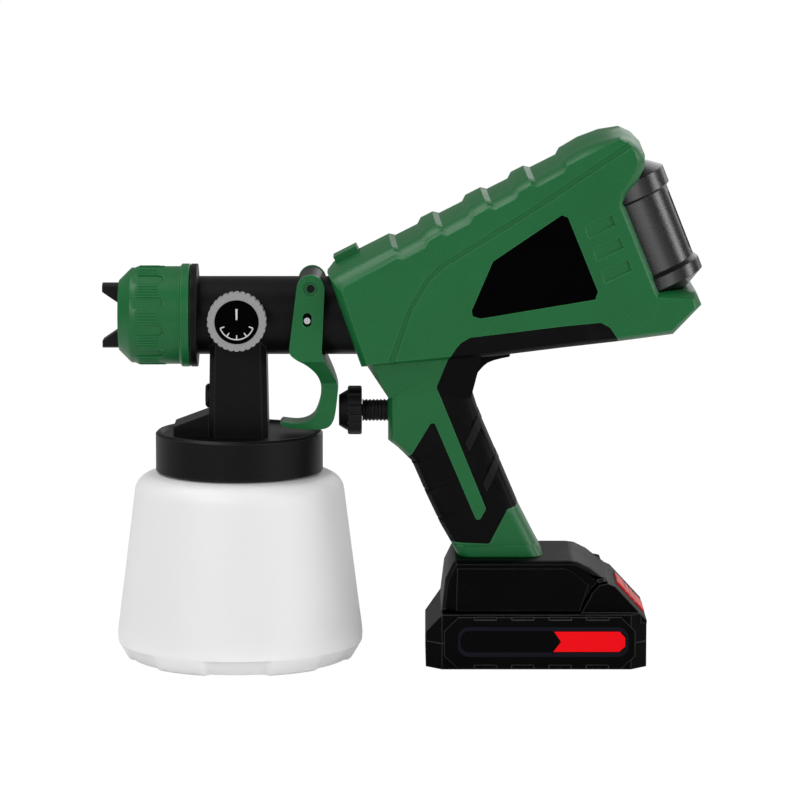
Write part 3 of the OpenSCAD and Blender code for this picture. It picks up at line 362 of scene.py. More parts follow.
@dataclass(frozen=True)
class MilkyPolymer(Finish):
    """A blow-moulded milky cup that lets a little light into its wall."""

    sag: float = 42 * MM
    skin: float = 1.4 * MM
    relief: float = 0.10 * MM
    depth: Point = (12 * MM, 12 * MM, 11.5 * MM)

    def weave(self, g: Graph) -> None:
        """Uneven milky colour over a slightly wavy wall."""
        sag = g.noise(self.sag, 2.0, (1.0, 1.0, 2.5))
        skin = g.noise(self.skin, 3.0)
        g.surface(
            Base_Color=g.mix(sag, self.tint(0.955), self.colour),
            Roughness=0.48 + (sag - 0.5) * 0.08 + (skin - 0.5) * 0.10,
            Normal=g.bump(sag + skin * 0.10, self.relief), IOR=1.52, Subsurface_Weight=0.35,
            Subsurface_Radius=self.depth, Subsurface_Scale=1.0,
        )


@dataclass(frozen=True)
class GlossPanel(Finish):
    """A smooth printed or polished panel with a faint orange-peel and hairlines."""

    roughness: float
    shine: float = 0.20
    lift: float = 0.006
    peel: float = 2.2 * MM
    hair: float = 1.1 * MM
    cloud: float = 30 * MM
    relief: float = 0.01 * MM

    def weave(self, g: Graph) -> None:
        """Clouded colour with hairlines, over the orange-peel."""
        peel = g.noise(self.peel, 2.0)
        hair = g.noise(self.hair, 2.0, (14.0, 1.0, 1.0)).between(0.63, 0.72)
        cloud = g.noise(self.cloud, 3.0)
        pale = self.tint(1.15, self.lift)
        g.surface(
            Base_Color=g.mix(cloud * 0.6 + hair * 0.25, self.colour, pale),
            Roughness=self.roughness + cloud * 0.08 + hair * 0.10, Normal=g.bump(peel, self.relief),
            IOR=1.5, Specular_IOR_Level=self.shine,
        )


@dataclass(frozen=True)
class TurnedMetal(Finish):
    """A turned metal with fine tool marks and a dulled patch here and there."""

    roughness: float = 0.28
    mark: float = 0.22 * MM
    patch: float = 6 * MM
    relief: float = 0.012 * MM

    def weave(self, g: Graph) -> None:
        """Metal with dulled patches, over the tool marks."""
        marks = g.noise(self.mark, 2.0, (1.0, 9.0, 9.0))
        dull = g.noise(self.patch, 4.0).between(0.45, 0.75)
        g.surface(
            Base_Color=g.mix(dull * 0.7, self.colour, self.tint(0.72)),
            Roughness=self.roughness + dull * 0.14 + (marks - 0.5) * 0.18, Metallic=1.0,
            Normal=g.bump(marks, self.relief),
        )


@dataclass(frozen=True)
class WoundWire(Finish):
    """Lacquered copper wire laid in rows."""

    rows: float = 330.0
    relief: float = 0.15 * MM

    def weave(self, g: Graph) -> None:
        """Bright wires with dark gaps between them."""
        bands = {"wave_type": "BANDS", "bands_direction": "DIAGONAL"}
        inputs = {"Vector": g.place, "Scale": self.rows, "Distortion": 0.6}
        rows = g.value("ShaderNodeTexWave", bands, inputs, 1)
        g.surface(
            Base_Color=g.mix(rows, self.tint(0.45), self.colour), Roughness=0.34 + rows * 0.08,
            Metallic=0.9, Normal=g.bump(rows, self.relief),
        )


@dataclass(frozen=True)
class OpenFoam(Finish):
    """A dark open-cell filter foam."""

    pore: float = 1.1 * MM
    fuzz: float = 0.5 * MM
    relief: float = 0.4 * MM

    def weave(self, g: Graph) -> None:
        """Dull cell walls round dark pores."""
        pores = g.cells(self.pore)
        fuzz = g.noise(self.fuzz, 3.0)
        g.surface(
            Base_Color=g.mix(pores.between(0.25, 0.60), self.colour, self.tint(0.25)),
            Roughness=0.86 + fuzz * 0.1, Normal=g.bump(fuzz * 0.3 - pores, self.relief),
        )


@dataclass(frozen=True)
class LacquerBoard(Finish):
    """A lacquered circuit board with tracks showing through."""

    tracks: float = 160.0
    speck: float = 3 * MM
    relief: float = 0.03 * MM

    def weave(self, g: Graph) -> None:
        """Lacquer that is paler over the tracks."""
        bricks = {"Vector": g.place, "Scale": self.tracks, "Mortar Size": 0.03}
        bricks |= dict.fromkeys(("Color1", "Color2"), (0.0, 0.0, 0.0, 1.0))
        track = g.value("ShaderNodeTexBrick", {"offset": 0.5}, bricks, 1)
        speck = g.noise(self.speck, 3.0)
        pale = self.tint(1.7, 0.01)
        g.surface(
            Base_Color=g.mix(track * 0.6 + speck * 0.2, self.colour, pale),
            Roughness=0.30 + speck * 0.12, Normal=g.bump(track, self.relief),
        )


@dataclass
class Palette:
    """The finishes of the gun, each built once."""

    green = MouldedPlastic("green_moulding", "green_plastic", (0.0052, 0.101, 0.0258), 0.38)
    green_small = replace(green, name="green_small_moulding", edge=0.55 * MM)
    black = MouldedPlastic(
        "black_moulding", "black_plastic", (0.0024, 0.0024, 0.0026), 0.40,
        edge_highlight_share=0.7, shine=0.13, lift=0.040, speck=0.12,
    )
    black_fine = replace(
        black, name="black_small_moulding", colour=(0.0026, 0.0026, 0.0028), edge=0.4 * MM,
        shine=0.18,
    )
    black_deep = MouldedPlastic(
        "black_deep_moulding", "black_plastic", (0.0006, 0.0006, 0.0007), 0.42,
        shine=0.035, lift=0.085, speck=0.02,
    )
    black_satin = MouldedPlastic(
        "black_satin_moulding", "black_plastic", (0.0012, 0.0012, 0.0013), 0.26,
        edge_highlight_share=0.5, shine=0.26, lift=0.030, speck=0.08,
    )
    soft = SoftTouch("soft_overmould", "soft_grip", (0.0020, 0.0020, 0.0022))
    soft_inlay = SoftTouch("soft_inlay", "soft_grip", (0.0090, 0.0090, 0.0094), 0.35 * MM)
    badge = GlossPanel("bare_badge", "badge_black", (0.0004, 0.0004, 0.0005), 0.34, 0.012, 0.0006)
    label_navy = GlossPanel(
        "label_border", "badge_black", (0.0022, 0.0024, 0.0068), 0.28, 0.10, 0.002
    )
    label_black = GlossPanel(
        "label_strip", "badge_black", (0.0006, 0.0006, 0.0007), 0.26, 0.04, 0.001
    )
    label_red = GlossPanel("label_band", "red_plastic", (0.75, 0.0008, 0.0050), 0.30, 0.06)
    red = MouldedPlastic(
        "red_press", "red_plastic", (0.66, 0.008, 0.012), 0.34,
        relief=0.006 * MM, edge_highlight_share=0.2, speck=0.05,
    )
    grey = MouldedPlastic(
        "grey_ring", "grey_plastic", (0.25, 0.25, 0.255), 0.42, edge=0.25 * MM, edge_highlight_share=0.4
    )
    printing = GlossPanel("grey_print", "grey_plastic", (0.50, 0.50, 0.50), 0.45)
    cup = MilkyPolymer("milky_cup", "cup_white", (0.825, 0.825, 0.82))
    steel = TurnedMetal("turned_steel", "steel", (0.62, 0.63, 0.65))
    brass = TurnedMetal("turned_brass", "brass", (0.66, 0.48, 0.20), 0.26)
    copper = WoundWire("wound_copper", "copper", (0.55, 0.24, 0.10))
    magnet = TurnedMetal("sintered_magnet", "magnet", (0.16, 0.16, 0.17), 0.50)
    board = LacquerBoard("green_board", "board", (0.008, 0.075, 0.022))
    foam = OpenFoam("filter_foam", "foam", (0.030, 0.030, 0.032))
    seal = SoftTouch("rubber_seal", "seal", (0.045, 0.045, 0.048))
    can = TurnedMetal("cell_can", "cell_can", (0.50, 0.52, 0.54), 0.32)
    built: dict[str, Material] = field(default_factory=dict)

    def dress(self, piece: Piece, finish: Finish) -> None:
        """Gives a piece its finish.

        Args:
            piece: The piece.
            finish: The finish.
        """
        if finish.name not in self.built:
            self.built[finish.name] = finish.build()
        piece.data.materials.clear()
        piece.data.materials.append(self.built[finish.name])


# Modelling


def deselect() -> None:
    """Deselects every object."""
    bpy.ops.object.select_all(action="DESELECT")


def take(piece: Piece) -> None:
    """Makes a piece the only one selected, and active.

    Args:
        piece: The piece.
    """
    deselect()
    piece.select_set(True)
    bpy.context.view_layer.objects.active = piece


@contextmanager
def editing(piece: Piece) -> Iterator[None]:
    """Edit mode on a piece, with all of it selected at the start.

    Args:
        piece: The piece.

    Yields:
        Nothing.
    """
    take(piece)
    bpy.ops.object.mode_set(mode="EDIT")
    bpy.ops.mesh.select_all(action="SELECT")
    yield
    bpy.ops.object.mode_set(mode="OBJECT")


def new_point(name: str, at: Point) -> Piece:
    """A piece of one point, ready to be extruded.

    Args:
        name: The piece's name.
        at: Where the point is.

    Returns:
        The piece, its object at the origin.
    """
    bpy.ops.mesh.primitive_plane_add(size=MM, location=at)
    piece = bpy.context.active_object
    piece.name = name
    bpy.ops.object.transform_apply()
    with editing(piece):
        bpy.ops.mesh.merge(type="CENTER")
    return piece


def draw(points: Sequence[Point]) -> None:
    """Extrudes the selected point along a line and selects all of it, in edit mode.

    Args:
        points: The line's points.
    """
    for before, after in zip(points, points[1:]):
        step = Vector(after) - Vector(before)
        bpy.ops.mesh.extrude_vertices_move(TRANSFORM_OT_translate={"value": tuple(step)})
    bpy.ops.mesh.select_all(action="SELECT")


def merge(limit: float = MERGE) -> None:
    """Merges the points that are close together, in edit mode."""
    bpy.ops.mesh.select_all(action="SELECT")
    bpy.ops.mesh.remove_doubles(threshold=limit)


def tidy() -> None:
    """Merges doubles and turns the faces outwards, in edit mode."""
    merge()
    bpy.ops.mesh.normals_make_consistent(inside=False)


def modify(piece: Piece, kind: str, **settings: object) -> None:
    """Adds a modifier to a piece, sets it and applies it.

    Args:
        piece: The piece.
        kind: The modifier's type.
        settings: Its settings.
    """
    take(piece)
    bpy.ops.object.modifier_add(type=kind)
    modifier = piece.modifiers[-1]
    for name, value in settings.items():
        setattr(modifier, name, value)
    bpy.ops.object.modifier_apply(modifier=modifier.name)


def smooth(piece: Piece, degrees: float = SHELL_ANGLE) -> None:
    """Smooth shading, weighted by the areas of the faces.

    Args:
        piece: The piece.
        degrees: The angle between faces up to which it is smooth.
    """
    take(piece)
    bpy.ops.object.shade_smooth_by_angle(angle=math.radians(degrees))
    modify(piece, "WEIGHTED_NORMAL", keep_sharp=True)


def round_off(piece: Piece, width: float, segments: int = 3, degrees: float = 30.0) -> None:
    """Bevels the edges that are sharper than an angle."""
    limit = {"limit_method": "ANGLE", "angle_limit": math.radians(degrees)}
    modify(piece, "BEVEL", width=width, segments=segments, **limit)


def cut(piece: Piece, tool: Piece, operation: str) -> None:
    """Cuts a piece by DIFFERENCE or INTERSECT with a closed tool, which is used up."""
    modify(piece, "BOOLEAN", operation=operation, solver="EXACT", object=tool)
    bpy.data.objects.remove(tool)


def copy_of(piece: Piece, name: str) -> Piece:
    """A copy of a piece, with a mesh of its own.

    Args:
        piece: The piece.
        name: The copy's name.

    Returns:
        The copy.
    """
    twin = bpy.data.objects.new(name, piece.data.copy())
    bpy.context.scene.collection.objects.link(twin)
    return twin


def shell(node: str, name: str, degrees: float = SKIN_ANGLE) -> Piece:
    """A merged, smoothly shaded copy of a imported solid.

    Args:
        node: The solid's name.
        name: The copy's name.
        degrees: The angle between faces up to which shading is smooth.

    Returns:
        The copy.
    """
    piece = copy_of(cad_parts[node], name)
    take(piece)
    if piece.data.has_custom_normals:
        bpy.ops.mesh.customdata_custom_splitnormals_clear()
    with editing(piece):
        merge(SOLID_MERGE)
    smooth(piece, degrees)
    return piece


def turned(
    name: str,
    profile: Outline,
    centre: Point,
    axis: Axis,
    steps: int,
    angle: float = FULL_TURN,
    start: Point = (1.0, 0.0, 0.0),
) -> Piece:
    """A profile spun about an axis.

    Args:
        name: The piece's name.
        profile: Pairs of radius and distance along the axis, closed by its first pair.
        centre: A point on the axis, from which the distances count.
        axis: The axis.
        steps: The number of steps round.
        angle: How far it goes round, in degrees.
        start: The direction in which the profile is drawn.

    Returns:
        The piece.
    """
    out, along = Vector(start), Vector(axis.value)
    points = [tuple(Vector(centre) + out * r + along * d) for r, d in profile]
    piece = new_point(name, points[0])
    with editing(piece):
        draw(points)
        turn = math.radians(angle)
        bpy.ops.mesh.spin(steps=steps, angle=turn, center=centre, axis=axis.value)
        merge()
        if angle < FULL_TURN:
            bpy.ops.mesh.select_all(action="DESELECT")
            bpy.ops.mesh.select_non_manifold()
            bpy.ops.mesh.fill_holes(sides=0)
        tidy()
    return piece


def plate(name: str, outline: Sequence[Point], depth: Point) -> Piece:
    """A flat outline drawn point by point, filled and given a thickness.

    Args:
        name: The piece's name.
        outline: The corners of its face, in order.
        depth: The way from that face to the opposite one.

    Returns:
        The piece.
    """
    piece = new_point(name, outline[0])
    with editing(piece):
        draw(outline)
        bpy.ops.mesh.edge_face_add()
        bpy.ops.mesh.extrude_region_move(TRANSFORM_OT_translate={"value": depth})
        tidy()
    return piece


def side_outline(points: Outline, y: float) -> list[Point]:
    """Points of the side view, in millimetres, on a plane across the gun."""
    return [(x * MM, y, z * MM) for x, z in points]


def grown(outline: Outline, by: float) -> list[Flat]:
    """A convex side-view outline with each edge moved outwards.

    Args:
        outline: Its corners, in order.
        by: How far the edges move.

    Returns:
        The larger outline.
    """
    middle = sum((Vector(p) for p in outline), Vector((0.0, 0.0))) / len(outline)
    lines = []
    for first, second in zip(outline, [*outline[1:], outline[0]]):
        along = (Vector(second) - Vector(first)).normalized()
        out = Vector((along.y, -along.x))
        out = out if out.dot(Vector(first) - middle) > 0 else -out
        lines.append((Vector(first) + out * by, along))
    corners = []
    for (a, u), (b, v) in zip([lines[-1], *lines[:-1]], lines):
        share = ((b - a).x * v.y - (b - a).y * v.x) / (u.x * v.y - u.y * v.x)
        corners.append(tuple(a + u * share))
    return corners


def rounded_box(x0: float, z0: float, x1: float, z1: float, r: float) -> list[Flat]:
    """A side-view rectangle with rounded corners, in millimetres.

    Args:
        x0: Its low X.
        z0: Its low Z.
        x1: Its high X.
        z1: Its high Z.
        r: The corners' radius.

    Returns:
        Its outline.
    """
    middles = ((x1 - r, z0 + r), (x1 - r, z1 - r), (x0 + r, z1 - r), (x0 + r, z0 + r))
    outline = []
    for (x, z), turn in zip(middles, (-90, 0, 90, 180)):
        for i in range(CORNER_STEPS + 1):
            a = math.radians(turn + 90 * i / CORNER_STEPS)
            outline.append((x + r * math.cos(a), z + r * math.sin(a)))
    return outline


@dataclass
class Assembly:
    """A sub-assembly of the gun."""

    palette: Palette

    def place(self, piece: Piece, body: str, finish: Finish, *nodes: str) -> None:
        """Dresses a piece, makes it ride on its body and hides what it stands for.

        Args:
            piece: The piece.
            body: The body that it moves with.
            finish: Its finish.
            nodes: The solids that it replaces.
        """
        self.palette.dress(piece, finish)
        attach(piece, body)
        if nodes:
            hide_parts(*nodes)
        LOG.info("%s rides on %s with finish %s", piece.name, body, finish.name)

    def skin(self, finish: Finish, body: str, *nodes: str, degrees: float = SKIN_ANGLE) -> None:
        """Smooth copies of solids that take their places."""
        for node in nodes:
            self.place(shell(node, f"{node}_skin", degrees), body, finish, node)

    def spring(self, node: str, body: str, joint: str, along: Point, travel: float) -> None:
        """A steel skin of a spring's solid, riding on a body, with a mesh of its own.

        Args:
            node: The spring's solid.
            body: The body that its fixed end rests on.
            joint: Not used.
            along: Not used.
            travel: Not used.
        """
        piece = shell(node, f"{node}_skin")
        self.place(piece, body, self.palette.steel, node)
        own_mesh(piece)

    def paint(self, finish: Finish, *nodes: str) -> None:
        """Dresses solids that are kept as they are.

        Args:
            finish: Their finish.
            nodes: The solids.
        """
        for node in nodes:
            self.palette.dress(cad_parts[node], finish)
            LOG.info("%s is kept with finish %s", node, finish.name)

    def build(self) -> None:
        """Makes and dresses the pieces."""
        raise NotImplementedError


# Pieces


@dataclass
class PaintCup(Assembly):
    """The milky cup, its panelled foot and the lid that holds it."""

    axis_x: float = -81.5 * MM
    steps: int = 240
    smooth_angle: float = 30.0
    wide_r: float = 61.5 * MM
    wall: float = 1.8 * MM
    shoulder_r: float = 52.5 * MM
    shoulder_z: float = 94.2 * MM
    shoulder_drop: float = 10.5 * MM
    bend_r: float = 9.5 * MM
    bend_ends: Flat = (4.0, 82.0)
    mouth_r: float = 37.0 * MM
    mouth_z: float = 108.3 * MM
    neck_round: float = 0.6 * MM
    rim_round: float = 0.4 * MM
    foot_r: float = 54.0 * MM
    foot_ring: float = 3.0 * MM
    floor_low: float = 1.5 * MM
    floor_high: float = 3.3 * MM
    toe: Outline = ((1.5, 0.15), (2.6, 0.7))
    bevel_z: float = 8.5 * MM
    bevel_inset: float = 0.3 * MM
    bevel_shares: tuple[float, ...] = (0.0, 0.2, 0.4, 0.6, 0.8, 0.92, 1.0)
    belly: Outline = ((0.08, 1.2), (0.0, 3.5), (0.2, 6.5), (0.6, 9.5))
    lining: Outline = ((0.6, 9.5), (0.4, 4.5))
    panels: int = 6
    panel_span: float = 30.0
    panel_ramp: float = 3.2
    panel_depth: float = 1.9 * MM
    panel_rise: float = 0.7 * MM

    def bend(self, inner: float) -> list[Flat]:
        """The shoulder's round, upwards.

        Args:
            inner: Its depth inside the outer face.

        Returns:
            Pairs of radius and height.
        """
        radius = self.bend_r - inner
        low, high = self.bend_ends
        turns = [math.radians(low + (high - low) * i / 10) for i in range(11)]
        r, z = self.shoulder_r - self.bend_r, self.shoulder_z - self.shoulder_drop
        return [(r + radius * math.cos(a), z + radius * math.sin(a)) for a in turns]

    def profile(self) -> list[Flat]:
        """The wall's closed section.

        Returns:
            Pairs of radius and height.
        """
        r, w, foot, mouth = self.wide_r, self.wall, self.foot_r, self.mouth_r
        ball, toe = ((foot + out * MM, rise * MM) for out, rise in self.toe)
        slope = (r - self.bevel_inset - toe[0], self.bevel_z - toe[1])
        outside = [
            (foot - self.foot_ring, 0.0),
            (foot, 0.0),
            ball,
            *((toe[0] + slope[0] * t, toe[1] + slope[1] * t) for t in self.bevel_shares),
            *((r - inset * MM, self.bevel_z + rise * MM) for inset, rise in self.belly),
            *self.bend(0.0),
            (mouth + self.neck_round, self.shoulder_z),
            (mouth, self.shoulder_z + self.neck_round),
            (mouth, self.mouth_z - self.rim_round),
            (mouth - self.rim_round, self.mouth_z),
        ]
        inside = [
            (mouth - w, self.mouth_z),
            (mouth - w, self.shoulder_z - w),
            *reversed(self.bend(w)),
            *((r - w - inset * MM, self.bevel_z + rise * MM) for inset, rise in self.lining),
            (foot - self.foot_ring, self.floor_high),
            (0.0, self.floor_high),
            (0.0, self.floor_low),
            (foot - self.foot_ring - MM, self.floor_low),
        ]
        return [*outside, *inside, outside[0]]

    def sink_panels(self, cup: Piece) -> None:
        """Draws the foot's panels in, with sloped ends.

        Args:
            cup: The cup.
        """
        foot, top, sole = self.foot_r - 0.1 * MM, self.bevel_z - 0.2 * MM, 0.5 * MM
        pitch = FULL_TURN / self.panels
        for vertex in cup.data.vertices:
            x, y, z = vertex.co.x - self.axis_x, vertex.co.y, vertex.co.z
            r = math.hypot(x, y)
            if r < foot or z > top:
                continue
            turn = (math.degrees(math.atan2(y, x)) + 90.0 + pitch / 2) % pitch - pitch / 2
            reach = (self.panel_span + self.panel_ramp) / 2 - abs(turn)
            ramp = min(1.0, max(0.0, reach / self.panel_ramp))
            depth = self.panel_depth * ramp * ramp * (3 - 2 * ramp)
            vertex.co.x = self.axis_x + x * (r - depth) / r
            vertex.co.y = y * (r - depth) / r
            if z < sole:
                vertex.co.z = z + self.panel_rise * ramp

    def build(self) -> None:
        """The cup, spun and panelled, and its lid."""
        middle = (self.axis_x, 0.0, 0.0)
        cup = turned("milky_cup", self.profile(), middle, Axis.Z, self.steps)
        self.sink_panels(cup)
        smooth(cup, self.smooth_angle)
        self.place(cup, "cup", self.palette.cup, "paint_cup")
        self.skin(self.palette.black, "head", "container_lid")
        self.paint(self.palette.seal, "lid_gasket")
        self.paint(self.palette.black_fine, "pickup_tube", "pickup_strainer")


@dataclass
class SprayHead(Assembly):
    """The barrel with its neck, nozzle, air cap and needle."""

    needle_travel: float = 1.92 * MM

    def build(self) -> None:
        """Skins of the outer pieces, and finishes of the inner ones."""
        p = self.palette
        self.skin(p.black, "head", "spray_head")
        self.skin(p.black_fine, "head", "valve_cap")
        self.skin(p.brass, "head", "nozzle_tip")
        self.skin(p.black_fine, "air_cap", "air_cap")
        self.skin(p.steel, "needle", "needle_pin", "paint_needle")
        self.skin(p.black_fine, "head", "trigger_pin")
        self.paint(p.seal, "nozzle_seal")
        self.paint(p.brass, "needle_guide", "packing_nut")
        self.spring("needle_spring", "head", "needle_slide", (1.0, 0.0, 0.0), self.needle_travel)
        self.paint(p.black_fine, "fluid_tube")


@dataclass
class UnionNut(Assembly):
    """The fluted nut and the fine ribs between its flutes."""

    axis_z: float = 172.5 * MM
    land_r: float = 24.4 * MM
    flutes: int = 11
    first_flute: float = -11.7
    ribs: int = 4
    rib_gap: float = 3.6
    rib_front: float = -130.9 * MM
    rib_back: float = -121.0 * MM
    rib_w: float = 0.72 * MM
    rib_h: float = 0.40 * MM
    flute_half: float = 3.2 * MM
    flute_end: float = -120.9 * MM
    rim_r: float = 0.28 * MM
    rib_round: float = 0.2 * MM
    smooth_angle: float = 40.0

    def rib_band(self) -> Piece:
        """One rib, shaped from a block and copied round the nut.

        Returns:
            The ribs.
        """
        middle = ((self.rib_front + self.rib_back) / 2, -self.land_r, self.axis_z)
        bpy.ops.mesh.primitive_cube_add(size=1.0, location=middle)
        band = bpy.context.active_object
        band.name = "nut_ribs"
        band.scale = (self.rib_back - self.rib_front, 2 * self.rib_h, self.rib_w)
        bpy.ops.object.transform_apply()
        with editing(band):
            bpy.ops.mesh.bevel(offset=self.rib_round, segments=2, affect="EDGES")
        pitch = FULL_TURN / self.flutes
        turns = [
            self.first_flute + pitch * (i + 0.5) + (k - (self.ribs - 1) / 2) * self.rib_gap
            for i in range(self.flutes)
            for k in range(self.ribs)
        ]
        self.copy_round(band, turns)
        return band

    def rim_band(self) -> Piece:
        """A bead round one flute, swept along its outline and copied round the nut.

        Returns:
            The beads.
        """
        half = self.flute_half
        bend = [math.radians(-90 + 15 * i) for i in range(13)]
        round_end = [(self.flute_end + half * math.cos(a), half * math.sin(a)) for a in bend]
        flat = [(self.rib_front, -half), *round_end, (self.rib_front, half)]
        path = []
        for x, rise in flat:
            a = math.asin(rise / self.land_r)
            path.append((x, -self.land_r * math.cos(a), self.axis_z + self.land_r * math.sin(a)))
        band = new_point("nut_rims", path[0])
        with editing(band):
            draw(path)
        bpy.ops.object.convert(target="CURVE")
        band.data.bevel_depth = self.rim_r
        band.data.bevel_resolution = 2
        band.data.use_fill_caps = True
        bpy.ops.object.convert(target="MESH")
        band = bpy.context.active_object
        pitch = FULL_TURN / self.flutes
        self.copy_round(band, [self.first_flute + pitch * i for i in range(self.flutes)])
        return band

    def copy_round(self, band: Piece, turns: Sequence[float]) -> None:
        """Turns a piece about the nut's axis and copies it to the other angles.

        Args:
            band: The piece.
            turns: The angles, in degrees.
        """
        about = {"orient_axis": "X", "center_override": (0.0, 0.0, self.axis_z)}
        with editing(band):
            bpy.ops.transform.rotate(value=math.radians(turns[0]), **about)
            for before, after in zip(turns, turns[1:]):
                bpy.ops.mesh.duplicate()
                bpy.ops.transform.rotate(value=math.radians(after - before), **about)
            tidy()
        smooth(band, self.smooth_angle)

    def build(self) -> None:
        """The nut with its ribs and the rims of its flutes."""
        self.skin(self.palette.green_small, "union_nut", "union_nut")
        self.place(self.rib_band(), "union_nut", self.palette.green_small)
        self.place(self.rim_band(), "union_nut", self.palette.green_small)


@dataclass
class PatternDial(Assembly):
    """The scalloped dial that turns the spray pattern, with plain marks on its face."""

    centre_x: float = -81.5 * MM
    centre_z: float = 172.5 * MM
    mark_r: float = 8.6 * MM
    mark_w: float = 0.55 * MM
    mark_t: float = 0.12 * MM
    sweep: Flat = (110.0, 250.0)
    ticks: tuple[float, ...] = (110.0, 145.0, 180.0, 215.0, 250.0)
    arc_steps: int = 48
    tick_size: Point = (6.4 * MM, 8.4 * MM, 0.7 * MM)
    pointer_size: Point = (1.2 * MM, 6.6 * MM, 1.1 * MM)

    def ring(self, face: float) -> Piece:
        """A printed arc round the lower half of the face.

        Args:
            face: The Y of the dial's face.

        Returns:
            The arc.
        """
        r, w, t = self.mark_r, self.mark_w / 2, self.mark_t
        section = [(r - w, 0.0), (r + w, 0.0), (r + w, -t), (r - w, -t), (r - w, 0.0)]
        low, high = self.sweep
        start = (math.sin(math.radians(high)), 0.0, math.cos(math.radians(high)))
        centre = (self.centre_x, face, self.centre_z)
        return turned("dial_arc", section, centre, Axis.Y, self.arc_steps, high - low, start)

    def tick(self, face: float, turn: float, size: Point) -> Piece:
        """One radial mark, tapered towards the middle.

        Args:
            face: The Y of the dial's face.
            turn: Its angle from the top, in degrees.
            size: Its inner and outer radius and its width.

        Returns:
            The mark.
        """
        s, c = math.sin(math.radians(turn)), math.cos(math.radians(turn))
        inner, outer, wide = size
        near, far = 0.35 * wide, 0.5 * wide
        corners = [(inner, -near), (outer, -far), (outer, far), (inner, near)]
        outline = [
            (self.centre_x + r * s + w * c, face, self.centre_z + r * c - w * s) for r, w in corners
        ]
        return plate(f"dial_mark_{round(turn + 180)}", outline, (0.0, -self.mark_t, 0.0))

    def build(self) -> None:
        """The ring, its face and the marks."""
        p = self.palette
        self.skin(p.grey, "dial", "shape_dial")
        self.skin(p.badge, "dial", "dial_face")
        self.paint(p.steel, "dial_spindle")
        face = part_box("dial_face")[0].y
        marks = [self.ring(face)]
        marks += [self.tick(face, turn, self.tick_size) for turn in self.ticks]
        marks.append(self.tick(face, 0.0, self.pointer_size))
        for mark in marks:
            self.place(mark, "dial", p.printing)


@dataclass
class Trigger(Assembly):
    """The trigger lever."""

    smooth_angle: float = 38.0

    def build(self) -> None:
        """The lever's skin."""
        green = self.palette.green_small
        self.skin(green, "trigger", "trigger", degrees=self.smooth_angle)


@dataclass
class BodyShell(Assembly):
    """The two housing halves with their badges, screws, rear intake and release button."""

    plunger_travel: float = 6.85 * MM
    release_way: Point = (0.45181, 0.0, -0.89211)
    release_travel: float = 1.8 * MM

    def build(self) -> None:
        """Skins of the outer pieces, and finishes of the works inside."""
        p = self.palette
        self.skin(p.green, "body", "left_housing", "right_housing", degrees=SHELL_ANGLE)
        self.skin(p.badge, "body", "left_badge", "right_badge")
        self.skin(p.steel, "body", "housing_screws")
        self.skin(p.black_satin, "body", "rear_cover")
        self.skin(p.green_small, "release_button", "head_release_button")
        self.paint(p.foam, "air_filter")
        self.paint(p.black, "fan_casing", "motor_mount", "air_duct")
        self.paint(p.black, "trigger_switch", "terminal_block")
        self.paint(p.grey, "impeller")
        self.paint(p.steel, "motor_shaft", "motor_can", "motor_bearings")
        self.spring("plunger_spring", "body", "plunger_slide", (1.0, 0.0, 0.0), self.plunger_travel)
        press = "release_press"
        self.spring("release_spring", "body", press, self.release_way, self.release_travel)
        self.paint(p.copper, "motor_winding")
        self.paint(p.magnet, "motor_magnet")
        self.paint(p.board, "control_board")


